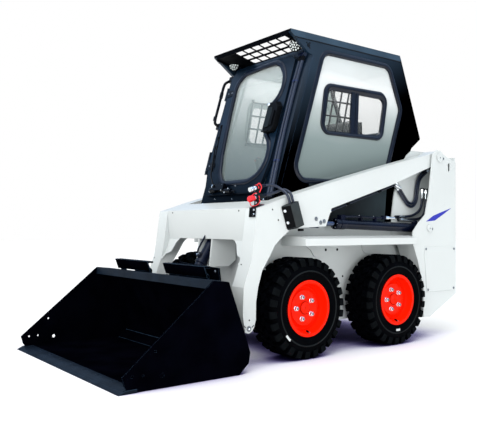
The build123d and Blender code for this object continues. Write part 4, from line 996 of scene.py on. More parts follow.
def work_light(name, sgn):
    S = Shape()
    c = P(sgn * 340, 138 if sgn > 0 else 162, 1928 if sgn > 0 else 1940)
    n = Vector((0.40, -0.91, -0.08)).normalized()
    u = n.cross(Z).normalized()
    v = u.cross(n)
    # housing, bezel, reflector plate, cells, domed lens; the cells are diffuse white, a painted reflection in place of
    # bright chrome
    S.lathe(c, n, [(-34, 0.01), (-34, 22), (-31, 28), (-28, 29.6), (-9, 29.8), (-6, 40), (4, 41.8), (8.5, 41.4), (8.8, 38.6), (3, 37.5), (2, 0.01)], 0, 44)
    S.lathe(c, n, [(2, 0.01), (2, 38.0), (4.0, 38.0), (8, 20), (9.5, 0.01)], 0, 44)
    rings = [(0, 1, 0.0), (16.5, 6, 0.2), (31.5, 11, 0.5)]
    for r, count, turn in rings:
        size = 5.8 if r < 30 else 5.2
        for k in range(count):
            t = turn + 2 * math.pi * k / count
            rise = 0.012 * (1 - (r / 38) ** 2)
            q = c + (u * math.cos(t) + v * math.sin(t)) * (r * 0.001) + n * rise
            S.lathe(q, n, [(3, 0.01), (3, size * 0.55), (7, size), (8, size), (7.6, size * 0.8), (4.6, size * 0.45), (4.4, 0.01)], 1, 10)
    S.lathe(c, n, [(8.6, 0.01), (8.6, 39.0), (10.5, 38.6), (15.5, 30), (19.5, 16), (20.6, 0.01)], 2, 40)
    # yoke and cable
    S.tube(round_path([c + u * 0.0425 - n * 0.004, c + u * 0.0425 - n * 0.022, c - u * 0.0425 - n * 0.022, c - u * 0.0425 - n * 0.004], 10), 2.6, 0, 8)
    S.tube(round_path([c - n * 0.033, c - n * 0.046 - v * 0.004, c - n * 0.050 - v * 0.030], 10), 3.6, 0, 8)
    S.build(name, "chassis", ["plastic", "led", "lamp_lens", "steel_dull"], bevel=0.0, replaces=("work_lights",), slot="lamp_housing", angle=40)


work_light("left_work_light", 1)
work_light("right_work_light", -1)

# ---- uprights -----------------------------------------------------------
S = Shape()
for (y, z), (by, bz), r in (((1320, 1272), (1356, 1268), 30), ((1200, 767), (1226, 763), 25)):
    # pin keeper: dished flange with an ear for its bolt
    S.lathe(P(571, y, z), X, [(-4, r - 5), (-4, r), (0.5, r + 2), (3.5, r), (4.2, r - 4), (2.4, r - 9), (2.4, 6), (4.5, 4), (4.5, 0.01), (-4, 0.01)], 0, 36)
    d = Vector((0, by - y, bz - z)).normalized()
    n = X.cross(d)
    c = P(567.6, y, z)
    e = P(567.6, by, bz)
    S.prismoid([c + n * 0.022 - X * 0.0024, e + n * 0.013 - X * 0.0024, e + d * 0.010 + n * 0.008 - X * 0.0024, e + d * 0.010 - n * 0.008 - X * 0.0024, e - n * 0.013 - X * 0.0024, c - n * 0.022 - X * 0.0024],
               [c + n * 0.022 + X * 0.0030, e + n * 0.013 + X * 0.0030, e + d * 0.010 + n * 0.008 + X * 0.0030, e + d * 0.010 - n * 0.008 + X * 0.0030, e - n * 0.013 + X * 0.0030, c - n * 0.022 + X * 0.0030], 0)
    S.bolt(P(570.4, by, bz), X, 7.6, 6.0, 1, 1)
    S.dome(P(574.6, y, z), X, 5, 3, 1)
# access panel over the battery box, held by four screws
panel = round_poly([(1142, 640), (1506, 634), (1499, 318), (1168, 320)], 16, 4)
S.plate(panel, [], left, 565.0, 568.6, 0)
S.sweep(panel, left, [(-9, 568.4), (-9, 569.6), (-3, 569.6), (-1.5, 568.4)], 0)
for y, z in ((1160, 622), (1488, 618), (1182, 336), (1482, 334)):
    S.bolt(P(568.6, y, z), X, 7, 5, 1, 1)
for y, z in ((1258, 1225), (1246, 1120), (1498, 1215), (1498, 1060), (1380, 940)):
    S.dome(P(565, y, z), X, 6.0, 2.4, 0)
S.mirror()
S.build("upright_pin_keepers_and_panels", "chassis", ["body", "steel_dull"], bevel=0.8)
# pivot pins, turned to a running fit so that the arms' and cylinders' bores turn clear of them
S = Shape()
for y, z, r in ((1320, 1272, 24.4), (1200, 767, 19.4)):
    S.lathe(P(420, y, z), X, [(0, 0.01), (0, r - 2), (2, r), (149, r), (151, r - 2), (151, 0.01)], 0, 48)
S.mirror()
S.build("turned_pivot_pins", "chassis", ["steel_dull"], bevel=0.0, replaces=("pivot_pins",), slot="bare_steel", angle=40)
S = Shape()
# plain tapering stripe
taper = [(1166, 814), (1266, 822), (1362, 866), (1462, 915), (1343, 883), (1248, 856)]
S.prismoid([P(564.8, y, z) for y, z in taper], [P(565.7, y, z) for y, z in taper], 0)
S.mirror()
S.build("side_stripe", "chassis", ["stripe"])
# rolled lip round the hand slot
S = Shape()
slot = [Vector((1433 + 13 * math.cos(t), 1210 + (19 if math.sin(t) >= 0 else -19) + 13 * math.sin(t))) for t in [math.pi * k / 10 for k in range(20)]]
S.sweep(slot, left, [(-0.5, 560), (-1.5, 565.5), (1.5, 567.2), (4.5, 566.6), (5.5, 564.9)], 0)
S.mirror()
S.build("hand_slot_lips", "chassis", ["body"], angle=50)

# ---- tub, rails ---------------------------------------------------------
S = Shape()
for y, z in ((367, 625), (472, 625), (782, 640), (848, 640)):
    S.bolt(P(380.2, y, z), X, 6.5, 5, 0, 0)
S.dome(P(380.2, 523, 448), X, 7, 3.0, 0)
for y, z in ((930, 560), (930, 420), (200, 420)):
    S.dome(P(380.2, y, z), X, 6, 2.5, 1)
gus = [(192, 646), (227, 627), (257, 585), (279, 578), (333, 583), (351, 631), (351, 650), (192, 650)]
S.prismoid([P(380, y, z) for y, z in gus], [P(388, y, z) for y, z in gus], 1)
gus = [(700, 650), (716, 612), (750, 590), (880, 588), (905, 615), (915, 650)]
S.prismoid([P(380, y, z) for y, z in gus], [P(387, y, z) for y, z in gus], 1)
# weld beads under the rail
S.tube([P(383, -8, 657.5), P(383, 1010, 657.5)], 3.0, 1, 8)
S.mirror()
S.build("tub_bolts_and_gussets", "chassis", ["slate", "body"], bevel=0.8)
S = Shape()
S.box(411.6, 416.6, -100, 1006, 716.2, 788, 0)
S.tube([P(416, -96, 788), P(416, 1002, 788)], 3.6, 0, 8)
for y in (60, 330, 600, 870):
    S.bolt(P(416.6, y, 764), X, 6, 4, 0, 0)
S.mirror()
S.build("side_skirts", "chassis", ["body"], bevel=0.8)
S = Shape()
for i in range(26):
    y = 10 + i * 38.5
    for x in (430, 470, 510):
        S.lathe(P(x, y, 715.9), Z, [(0, 3.6), (0, 7.0), (1.1, 6.6), (1.8, 5.2), (1.1, 3.6)], 0, 10)
S.mirror()
S.build("step_tread_buttons", "chassis", ["body"], bevel=0.0)

# ---- lift arms ----------------------------------------------------------
S = Shape()
for y, z, r in ((-223, 872, 5), (-179, 812, 5), (-390, 252, 5)):
    S.dome(P(545, y, z), X, r, 2.0, 1)
arc = [P(546, y, z) for y, z in ((-430, 226), (-420, 216), (-408, 211), (-396, 210), (-382, 211), (-368, 214), (-358, 222))]
S.tube(arc, 2.2, 1, 8)
# weld seams of the arm's upper and lower plates
top = [(1240, 1289.5), (785, 1179.5), (240, 1038.5), (148, 1012.5), (-112, 941.5), (-306, 880)]
S.tube([P(545.4, y, z) for y, z in top], 1.7, 0, 6)
low = [(-326, 430), (-296, 524), (-239, 609), (-202, 669)]
S.tube([P(545.4, y - 5, z + 4) for y, z in low], 1.7, 0, 6)
for sx in (-44, 44):
    c = P(491 + sx * 1.24, -395, 205)
    S.lathe(c, X * (1 if sx > 0 else -1), [(-3, 0.01), (-3, 24), (1, 24), (2.6, 21), (2.6, 17), (0.6, 16.5), (0.6, 0.01)], 0, 30)
S.mirror()
S.build("arm_weld_seams_and_dots", "lift_arms", ["body", "slate"], bevel=0.0, angle=45)
S = Shape()
S.bolt(P(547.8, -395, 205), X, 8, 5, 0, 0)
S.mirror()
S.build("bucket_pin_bolts", "lift_arms", ["steel"], bevel=0.4)
S = Shape()
for x, z in ((-371, 866), (371, 866)):
    S.dome(P(x, -334.4, z), -Y, 5, 2.0, 0)
for x, y, z in ((-524, -384.3, 557), (462, -384.3, 557), (-480, -433.6, 330), (480, -433.6, 330)):
    S.dome(P(x, y, z), -Y, 5, 2.0, 0)
S.build("front_face_dots", "lift_arms", ["slate"], bevel=0.0)
# plates either side of the tilt cylinder, closing the frame behind the front opening
S = Shape()
for x0 in (66.2, -77.8):
    quad = [(-318, 690), (-136, 826), (-136, 560), (-190, 524), (-306, 524)]
    S.prismoid([P(x0, y, z) for y, z in quad], [P(x0 + 11.6, y, z) for y, z in quad], 0)
S.build("cylinder_side_plates", "lift_arms", ["body"], bevel=1.5)

# pressure pipe along the arm's foot, with its end fittings
S = Shape()
for x in (520, 506):
    route = [P(x, 268, 872), P(x, 305, 884), P(x, 600, 974), P(x, 877, 1059), P(x, 900, 1054)]
    S.tube(round_path(route, 40), 7.0, 0, 10)
    S.cyl(P(x, 886, 1062.5), P(x, 915, 1052), 10.5, 1, 6)
    S.cyl(P(x, 915, 1052), P(x, 945, 1042), 8.5, 1, 14)
    S.cyl(P(x, 268, 872), P(x, 250, 866), 10, 1, 6)
for y, z in ((420, 919), (720, 1011)):
    S.obox(P(513, y, z + 6), X * 0.020, Vector((0, 0.011, 0.0034)), Vector((0, -0.0034, 0.011)), 2)
    S.dome(P(513, y + 1, z - 6), -Z, 5, 4, 1)
S.mirror()
S.build("arm_pipes", "lift_arms", ["enamel", "steel", "plastic"], bevel=0.8)
# pin bosses of the lift rods at the arm's knee
for sd, s in (("left", 1), ("right", -1)):
    S = Shape()
    c = P(s * 545, 155, 800)
    S.lathe(c, X * s, [(-3, 0.01), (-3, 23), (1.5, 23), (3.2, 21), (3.2, 15), (5.6, 14), (5.6, 0.01)], 0, 30)
    S.bolt(c + X * (s * 0.0055), X * s, 10, 6, 1, 1)
    S.bolt(P(s * 545, 190, 808), X * s, 10, 6, 1, 1)
    S.bolt(P(s * 545, 122, 822), X * s, 10, 6, 1, 1)
    S.build(sd + "_rod_pin_boss", "lift_arms", ["body", "steel_dull"], bevel=0.6)

# hose guard: screws, foot, dark flank
S = Shape()
lean = math.radians(19)
across, upg = Vector((0, math.cos(lean), math.sin(lean))), Vector((0, -math.sin(lean), math.cos(lean)))
g0 = P(545.05, -110, 756)


def guard(a, u, o):
    return g0 + across * (a * 0.001) + upg * (u * 0.001) + X * (o * 0.001)


flank = (X * 33.5 - across * 46).normalized()
for u in (112, 40):
    S.bolt(guard(5, u, 14.5), flank, 6.5, 4.5, 1, 1)
S.prismoid([guard(-4, 6, 3), guard(-4, 138, 3), guard(30, 138, 45), guard(30, 6, 45)],
           [guard(-1, 6, 0.2), guard(-1, 138, 0.2), guard(33, 138, 44), guard(33, 6, 44)], 0)
S.prismoid([guard(2, -4, 1), guard(36, -4, 45), guard(96, -4, 45), guard(96, -4, 1)],
           [guard(2, 1, 1), guard(36, 1, 45), guard(96, 1, 45), guard(96, 1, 1)], 0)
S.box(538, 552, -22, 14, 748, 762, 0)
S.build("hose_guard_trim", "lift_arms", ["plastic", "steel"], bevel=0.8)

# couplers: knurled sleeves, dust caps with straps, clamp band
S = Shape()
ends = [(P(475, -336, 984), P(475, -254, 1006)), (P(475, -340, 929), P(475, -248, 951))]
for i, (a, b) in enumerate(ends):
    d = (b - a).normalized()
    L = (b - a).length * 1000
    S.lathe(a, d, [(6, 12.6), (6, 13.6), (10, 14.6), (24, 14.6), (26, 13.4), (30, 13.4), (32, 14.4), (44, 14.4), (46, 13.4), (46, 12.6)], 0, 28)
    S.lathe(a, d, [(52, 12.6), (52, 14.6), (60, 15.2), (66, 14.6), (66, 12.6)], 1, 6)
    S.lathe(a, d, [(48, 12.2), (48, 15.6), (L + 2, 15.6), (L + 4, 12.2)], 2, 20)
S.box(458, 492, -289, -276, 895, 1011, 2)
for z in (1003, 962, 910):
    S.bolt(P(475, -289, z), -Y, 6, 4, 0, 0)
# painted facing of the coupler bracket
for quad in ([(-341.8, 882.2), (-347.2, 827.2), (-344.6, 827.2), (-339.6, 882.2)], [(-341.0, 882.4), (-286.2, 898.4), (-286.2, 896.6), (-340.6, 880.2)]):
    S.prismoid([P(481.2, y, z) for y, z in quad], [P(540.8, y, z) for y, z in quad], 3)
for z in (868, 842):
    S.bolt(P(524, -344.6, z), -Y, 5.5, 3.5, 0, 0)
S.build("coupler_sleeves", "lift_arms", ["steel", "steel_dull", "slate", "plastic"], bevel=0.6)
S = Shape()
a, b = ends[1]
d = (b - a).normalized()
a = a + d * 0.008
S.lathe(a, d, [(-12, 0.01), (-12, 12), (-9, 16.5), (-2, 18.8), (10, 18.8), (14, 16.2), (28, 16), (31, 15), (31, 13.5), (0, 13.4), (0, 0.01)], 0, 28)
S.lathe(a, d, [(52, 15.7), (52, 19), (57, 19), (57, 15.7)], 0, 28)
S.tube(round_path([a - d * 0.002 - Z * 0.018, a + d * 0.002 - Z * 0.042 + X * 0.006, a + d * 0.040 - Z * 0.046 + X * 0.016, a + d * 0.062 - Z * 0.024 + X * 0.018, a + d * 0.054 - Z * 0.012 + X * 0.016], 20), 2.8, 0, 8)
S.tube(round_path([a + d * 0.010 + Z * 0.016, a + d * 0.030 + Z * 0.030 + X * 0.010, a + d * 0.055 + Z * 0.019 + X * 0.008], 14), 2.8, 0, 8)
a, b = ends[0]
S.lathe(b, d, [(-34, 13.2), (-34, 18.2), (-27, 18.6), (-27, 13.2)], 0, 28)
S.tube(round_path([b - d * 0.030 + Z * 0.016 + X * 0.006, b - d * 0.024 + Z * 0.026 + X * 0.014, b - d * 0.012 + X * 0.026, b - d * 0.026 - Z * 0.030 + X * 0.020], 16), 3.4, 0, 8)
S.build("coupler_dust_caps", "lift_arms", ["red"], bevel=0.5)
# hose ends at the couplers
S = Shape()
for p0, p1 in ((P(475, -254, 1006), P(475, -222, 1014.6)), (P(475, -248, 951), P(475, -216, 958.6))):
    S.cyl(p0, p0.lerp(p1, 0.35), 12, 0, 6)
    S.cyl(p0.lerp(p1, 0.35), p1, 10.6, 0, 20)
S.build("boom_hose_ferrules", "lift_arms", ["enamel"], bevel=0.6)

# ---- lift and tilt cylinders --------------------------------------------
for sd, s in (("left", 1), ("right", -1)):
    S = Shape()
    q = lambda x, y, z: P(s * x, y, z)
    base, eye = q(491, 1200, 767), q(491, 155, 800)
    d = (eye - base).normalized()
    up = Vector((0, -d.z, d.y)) if d.y < 0 else Vector((0, d.z, -d.y))
    up = -up if up.z < 0 else up
    # gland nut and base cap
    S.lathe(base, d, [(836, 30), (836, 34), (842, 35.5), (868, 35.5), (872, 33), (872, 29.5), (836, 29.5)], 0, 40)
    for k in range(6):
        t = 2 * math.pi * k / 6
        r = X * math.cos(t) + up * math.sin(t)
        S.cyl(base + d * 0.8715 + r * 0.027, base + d * 0.8735 + r * 0.027, 3.0, 1, 8)
    S.lathe(base, d, [(20, 26), (20, 32), (30, 36), (46, 36), (54, 31), (54, 26)], 0, 40)
    # clamp and port block on the rod end
    c = base + d * 0.806
    S.obox(c + up * 0.042, X * 0.017, d * 0.020, up * 0.016, 0)
    S.lathe(base, d, [(784, 30), (784, 34), (788, 35), (824, 35), (828, 34), (828, 30)], 0, 40)
    # feed pipe above the barrel
    top = [c + up * 0.046 - d * 0.018, c + up * 0.050 - d * 0.050, base + d * 0.60 + up * 0.052, base + d * 0.448 + up * 0.052, base + d * 0.42 + up * 0.058]
    top = [p + X * (s * 0.014) for p in top]
    S.tube(round_path(top, 30), 7.2, 0, 12)
    e = base + d * 0.42 + up * 0.058 + X * (s * 0.014)
    S.obox(e - d * 0.004, X * 0.012, d * 0.015, up * 0.013, 0)
    f0, f1, f2 = e - d * 0.015, e - d * 0.055, e - d * 0.115
    S.cyl(f0, f1, 11, 1, 6)
    S.cyl(f1, f2, 9.2, 1, 16)
    # second pipe to the base port
    g = base + d * 0.075
    S.obox(g + up * 0.038 + X * (s * 0.004), X * 0.014, d * 0.016, up * 0.012, 0)
    S.tube(round_path([g + up * 0.044 + d * 0.012, g + up * 0.048 + d * 0.055, base + d * 0.23 + up * 0.052 + X * (s * 0.006)], 26), 6.6, 1, 12)
    S.cyl(base + d * 0.205 + up * 0.052 + X * (s * 0.005), base + d * 0.235 + up * 0.0525 + X * (s * 0.006), 10, 1, 6)
    for k in (0.5, 0.64):
        m = base + d * k
        S.obox(m + up * 0.0438 + X * (s * 0.012), X * 0.013, d * 0.008, up * 0.0172, 0)
        S.bolt(m + up * 0.061 + X * (s * 0.002), up, 4.5, 3.5, 1)
    S.build(sd + "_lift_pipework", sd + "_lift_barrel", ["enamel", "steel"], bevel=0.8, angle=35)
    S = Shape()
    S.lathe(eye, X, [(-30, 18), (-30, 21), (-26, 23), (26, 23), (30, 21), (30, 18)], 0, 28)
    S.build(sd + "_rod_eye_collar", sd + "_lift_piston", ["steel_dull"], bevel=0.4)
S = Shape()
base, eye = P(0, -160, 840), P(0, -478, 345)
d = (eye - base).normalized()
n = Vector((0, -d.z, d.y))
n = -n if n.y > 0 else n
L = 400
S.lathe(base, d, [(330, 31), (330, 38), (336, 39.5), (356, 39.5), (360, 36), (360, 31)], 0, 40)
S.lathe(base, d, [(34, 30), (34, 37), (40, 39), (56, 39), (62, 34.5), (62, 30)], 0, 40)
for k in (0.085, 0.315):
    S.obox(base + d * k + n * 0.039, X * 0.016, d * 0.015, n * 0.010, 0)
    S.cyl(base + d * k + n * 0.046, base + d * k + n * 0.058, 10, 1, 6)
S.tube(round_path([base + d * 0.085 + n * 0.056, base + d * 0.11 + n * 0.066, base + d * 0.29 + n * 0.066, base + d * 0.315 + n * 0.056], 16), 6, 0, 10)
S.build("tilt_pipework", "tilt_barrel", ["enamel", "steel"], bevel=0.8)

# ---- bucket and quick attach --------------------------------------------
S = Shape()
# weld beads between the side plates and the shell
prof = [(-1170, 12), (-574, 12), (-519, 60), (-510, 110), (-534, 181), (-646, 478), (-730, 487)]
S.tube([P(683, y, z) for y, z in prof], 3.6, 0, 8)
prof = [(-570, 1), (-509, 55), (-499, 110), (-523, 181), (-639, 488)]
S.mirror()
# ribs under the floor and wear strips
for x in (-420, -140, 140, 420):
    S.box(x - 22, x + 22, -1150, -600, 0.4, 3.0, 1)
# bolt-on edge
for i in range(9):
    x = -640 + i * 160
    S.dome(P(x, -1196, 18), Z, 11, 4, 1, 16)
S.build("bucket_welds_and_bolts", "bucket", ["bucket", "wear"], bevel=0.0)
S = Shape()
# lip bar over the bucket's back edge, in a lighter slate: a painted sheen where the top faces catch light from above
S.prismoid([P(-684, y, z) for y, z in ((-739, 499.5), (-739, 453), (-726.6, 453), (-726.6, 497.2), (-642, 489.2), (-640, 488.4))],
           [P(684, y, z) for y, z in ((-739, 499.5), (-739, 453), (-726.6, 453), (-726.6, 497.2), (-642, 489.2), (-640, 488.4))], 0)
S.build("bucket_lip_bar", "bucket", ["bucket_lip"], bevel=0.8)
S = Shape()
# grip buttons on the steps in the same lighter slate, a painted sheen
for x0 in (-525, 92):
    for i in range(18):
        x = x0 + 20 + i * 23
        for y in (-675, -652):
            S.lathe(P(x, y, 559.8), Z, [(0, 2.0), (0, 5.0), (1.8, 4.2), (2.4, 3.2), (1.4, 2.0)], 0, 8)
S.build("bucket_step_grip", "bucket", ["bucket_lip"], bevel=0.0)
S = Shape()
n = Vector((0, -0.936, -0.354))
# lock levers, their pins and the plate's bolts on the quick attach
for s in (1, -1):
    back = lambda dx, z, off: P(s * (300 + dx), -559 + (437 - z) * 0.378 + off * 0.936, z + off * 0.354)
    S.lathe(back(0, 372, 0), Vector((0, 0.936, 0.354)), [(-2, 0.01), (-2, 15), (5, 15), (7, 12), (7, 0.01)], 0, 24)
    S.tube(round_path([back(0, 372, 9), back(16, 352, 10), back(60, 336, 10)], 14), 5.5, 0, 10)
    S.tube([back(58, 336.5, 10), back(96, 325, 10)], 7.5, 1, 14)
    S.cyl(back(0, 356, 7), back(0, 280, 7), 8, 2, 18)
    S.obox(back(0, 318, 5), X * 0.020, Vector((0, -0.354, 0.936)) * 0.009, Vector((0, 0.936, 0.354)) * 0.010, 0)
S.build("lock_levers", "bucket", ["bucket", "plastic", "steel_dull"], bevel=1.2)
S = Shape()
for x, z in ((180, 545), (180, 470), (520, 530), (520, 470), (350, 540)):
    S.bolt(P(x, -606, z), -Y, 7, 5, 0, 0)
S.build("lever_plate_bolts", "bucket", ["steel_dull"], bevel=0.4)

# ---- rear ---------------------------------------------------------------
S = Shape()
for k in range(9):
    z0 = 620 + k * 56
    # blade sloping inwards through each slot
    S.prismoid([P(-299, y, z) for y, z in ((1524, z0 + 26), (1551, z0 + 3), (1551, z0 + 6), (1524, z0 + 29))],
               [P(299, y, z) for y, z in ((1524, z0 + 26), (1551, z0 + 3), (1551, z0 + 6), (1524, z0 + 29))], 0)
for x in (-150, 0, 150):
    S.box(x - 3, x + 3, 1540, 1549, 622, 1096, 0)
S.build("rear_grille_blades", "rear_door_leaf", ["cab_dark"], bevel=0.6)
S = Shape()
loop = round_poly([(-392, 348), (392, 348), (392, 1228), (-392, 1228)], 26, 5)
S.sweep(loop, lambda u, v, h: P(u, h, v), [(-6, 1550.6), (-5, 1551.9), (4, 1551.9), (5, 1550.6)], 0)
loop = round_poly([(-318, 604), (318, 604), (318, 1112), (-318, 1112)], 18, 5)
S.sweep(loop, lambda u, v, h: P(u, h, v), [(-5, 1550.6), (-4, 1551.9), (4, 1551.9), (5, 1550.6)], 0)
S.build("rear_door_pressings", "rear_door_leaf", ["body"], angle=40)
S = Shape()
# recessed paddle latch and keyhole
S.lathe(P(352, 1550.8, 800), Y, [(0, 0.01), (0, 30), (1.1, 30), (1.1, 26), (0.3, 24), (0.3, 0.01)], 0, 36)
S.prismoid([P(x, 1550.8, z) for x, z in ((338, 812), (366, 812), (366, 780), (338, 780))], [P(x, 1552, z) for x, z in ((340, 810), (364, 810), (362, 784), (342, 784))], 1)
S.cyl(P(352, 1550, 822), P(352, 1552, 822), 5, 1, 16)
for x in (-370, 370):
    for z in (380, 560, 1190):
        S.dome(P(x, 1550.4, z), Y, 6.5, 1.6, 1)
S.build("rear_door_latch", "rear_door_leaf", ["plastic", "steel"], bevel=0.3)
S = Shape()
for s in (1, -1):
    for z0, z1, m in ((1084, 1108, 1), (1112, 1138, 0), (1142, 1166, 0)):
        S.box(*sorted((s * 461, s * 524)), 1529, 1533, z0, z1, m)
        for k in range(9):
            x = s * (466 + k * 6.6)
            S.box(*sorted((x, x + s * 2.2)), 1532.4, 1534.4, z0 + 2, z1 - 2, m)
S.build("tail_light_lenses", "chassis", ["tail", "lamp_lens"], bevel=0.5, slot="tail_lens")
S = Shape()
for s in (1, -1):
    loop = round_poly([(s * 448, 1073), (s * 537, 1073), (s * 537, 1177), (s * 448, 1177)], 8, 3)
    S.sweep(loop, lambda u, v, h: P(u, h, v), [(-4, 1512), (-4, 1531), (2, 1533), (4, 1512)], 0)
S.build("tail_light_bezels", "chassis", ["plastic"], angle=40)
# tie-down loops, rear bumper bolts
S = Shape()
for s in (1, -1):
    S.tube(round_path([P(s * 330, 1538, 255), P(s * 330, 1546, 285), P(s * 270, 1546, 285), P(s * 270, 1538, 255)], 12), 5, 0, 10)
    for x, z in ((480, 420), (480, 560), (480, 700), (480, 860)):
        S.dome(P(s * x, 1510, z), Y, 7, 3, 1)
S.build("rear_loops_and_bolts", "chassis", ["enamel", "body"], bevel=0.0)
# hood: pull, edge rubber, latch studs
S = Shape()
S.tube([P(-398, 1327, 1319.5), P(398, 1327, 1319.5)], 1.2, 0, 6)
S.prismoid([P(x, 1484, 1293.6) for x in (-70, 70)] + [P(x, 1500, 1288.4) for x in (70, -70)], [P(x, 1484, 1298.8) for x in (-62, 62)] + [P(x, 1500, 1293.6) for x in (62, -62)], 1)
for x in (-360, 360):
    S.dome(P(x, 1500, 1288.0), Vector((0, 0.34, 0.94)), 8, 3, 2)
    S.dome(P(x, 1400, 1316.4), Z, 7, 1.6, 2)
S.build("hood_pull_and_studs", "engine_hood_lid", ["cab_dark", "plastic", "steel"], bevel=0.4)
# engine bay: pulleys and cover on the block, seen with the hood or door open
lo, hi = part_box("engine_block")
S = Shape()
cx, cy, cz = (lo.x + hi.x) / 2, hi.y, (lo.z + hi.z) / 2


def R(x, y, z):
    return Vector((x, y, z))


for px, pz, r in ((cx - 0.05, lo.z + 0.16, 62), (cx + 0.09, cz + 0.02, 44), (cx - 0.10, cz + 0.06, 34)):
    S.lathe(R(px, cy, pz), Y, [(0, 0.01), (0, r), (5, r), (8, r - 5), (16, r - 5), (19, r), (23, r), (23, r * 0.5), (14, r * 0.4), (14, 0.01)], 0, 32)
S.build("engine_pulleys", "chassis", ["steel_dull"], bevel=0.5)
S = Shape()
w = min(0.20, (hi.x - lo.x) * 0.4)
S.prismoid([R(cx - w, lo.y + 0.03, hi.z - 0.002), R(cx + w, lo.y + 0.03, hi.z - 0.002), R(cx + w, hi.y - 0.05, hi.z - 0.002), R(cx - w, hi.y - 0.05, hi.z - 0.002)],
           [R(cx - w + 0.01, lo.y + 0.04, hi.z + 0.022), R(cx + w - 0.01, lo.y + 0.04, hi.z + 0.022), R(cx + w - 0.01, hi.y - 0.06, hi.z + 0.022), R(cx - w + 0.01, hi.y - 0.06, hi.z + 0.022)], 0)
S.cyl(R(cx + 0.05, lo.y + 0.08, hi.z + 0.02), R(cx + 0.05, lo.y + 0.08, hi.z + 0.034), 22, 1, 24)
for ix in (-1, 1):
    for iy in (lo.y + 0.05, hi.y - 0.07):
        S.bolt(R(cx + ix * (w - 0.022), iy, hi.z + 0.022), Z, 6, 5, 1)
S.build("engine_cover", "chassis", ["plastic", "steel_dull"], bevel=1.5)

# ---- inside the cab -----------------------------------------------------
def settle(name, shape, mats, body, replaces, voxel, pressure, cap):
    """Cushion: the cover is remeshed, swollen by cloth pressure within a cap, and smoothed once."""
    o = shape.build(name, body, mats, ride=False)
    mod = o.modifiers.new("skin", "REMESH")
    mod.mode = "VOXEL"
    mod.voxel_size = voxel
    me = bpy.data.meshes.new_from_object(o.evaluated_get(bpy.context.evaluated_depsgraph_get()))
    o.modifiers.clear()
    o.data = me
    me.materials.clear()
    me.materials.append(M[mats[0]])
    start = [v.co.copy() for v in me.vertices]
    c = o.modifiers.new("cloth", "CLOTH")
    c.settings.use_pressure = True
    c.settings.uniform_pressure_force = pressure
    c.settings.effector_weights.gravity = 0.0
    c.point_cache.frame_start = 1
    c.point_cache.frame_end = 20
    for f in range(1, 21):
        scene.frame_set(f)
    sim = bpy.data.meshes.new_from_object(o.evaluated_get(bpy.context.evaluated_depsgraph_get()))
    o.modifiers.clear()
    for v, s, e in zip(me.vertices, start, sim.vertices):
        d = e.co - s
        if d.length > cap:
            d *= cap / d.length
        v.co = s + d
    bpy.data.meshes.remove(sim)
    scene.frame_set(1)
    sm = o.modifiers.new("relax", "SMOOTH")
    sm.iterations = 4
    sm.factor = 0.5
    sub = o.modifiers.new("finer", "SUBSURF")
    sub.levels = sub.render_levels = 1
    final = bpy.data.meshes.new_from_object(o.evaluated_get(bpy.context.evaluated_depsgraph_get()))
    o.modifiers.clear()
    o.data = final
    for p in final.polygons:
        p.use_smooth = True
    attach(o, body)
    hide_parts(*replaces)
    return o


def crowned(x0, x1, y0, y1, z0, z1, seg=10):
    """Pad with rounded corners in plan and a slightly domed top."""
    S = Shape()
    loop = round_poly([(x0, y0), (x1, y0), (x1, y1), (x0, y1)], 45, 6)
    cx, cy = (x0 + x1) / 2, (y0 + y1) / 2
    rings = [(-18, z0), (-2, z0 + 10), (0, z0 + 24), (0, z1 - 26), (-8, z1 - 9), (-26, z1)]
    norms = loop_normals(loop)
    pts = []
    for o, z in rings:
        pts.append([P(p.x + m.x * o, p.y + m.y * o, z) for p, m in zip(loop, norms)])
    n = len(loop)
    k = len(S.v)
    for r in pts:
        S.v += r
    for a in range(len(rings) - 1):
        for i in range(n):
            j = (i + 1) % n
            S.f.append([k + a * n + i, k + a * n + j, k + (a + 1) * n + j, k + (a + 1) * n + i])
            S.m.append(0)
    S.f.append([k + i for i in range(n)])
    S.f.append([k + (len(rings) - 1) * n + i for i in range(n)])
    S.m += [0, 0]
    return S


seat = settle("seat_cushion", crowned(-226, 226, 416, 842, 914, 1002), ["vinyl"], "chassis", ("operator_seat",), 0.007, 4.0, 0.010)
# back cushion: the same pad stood up along the CAD back, narrower at its head
S = crowned(-216, 216, 0, 556, 0, 62)
b0, b1 = Vector((808, 1016)), Vector((866, 1556))
ax = (b1 - b0).normalized()
nx = Vector((ax.y, -ax.x))


def stood(p):
    x, y, z = p.x * 1000, p.y * 1000 - AXLE_Y, p.z * 1000
    t = y / 556
    x *= 1.0 - 0.16 * max(0.0, t - 0.55) / 0.45
    q = b0 + ax * y + nx * (66 - z - 10 * math.sin(math.pi * min(1, t * 1.1)) * 0.3)
    return P(x, q.x, q.y)


S.v = [stood(p) for p in S.v]
back = settle("seat_back_cushion", S, ["vinyl"], "chassis", ("operator_seat",), 0.007, 4.0, 0.010)

from mathutils.bvhtree import BVHTree


def lay(o, pts, direction, lift=0.0):
    """Points dropped onto a piece's surface."""
    tree = BVHTree.FromPolygons([v.co for v in o.data.vertices], [list(p.vertices) for p in o.data.polygons])
    out = []
    for p in pts:
        hit = tree.ray_cast(p - direction * 0.3, direction)
        if hit[0] is not None:
            out.append(hit[0] - direction * lift)
    return out


def steps(a, b, n=24):
    return [a.lerp(b, i / n) for i in range(n + 1)]


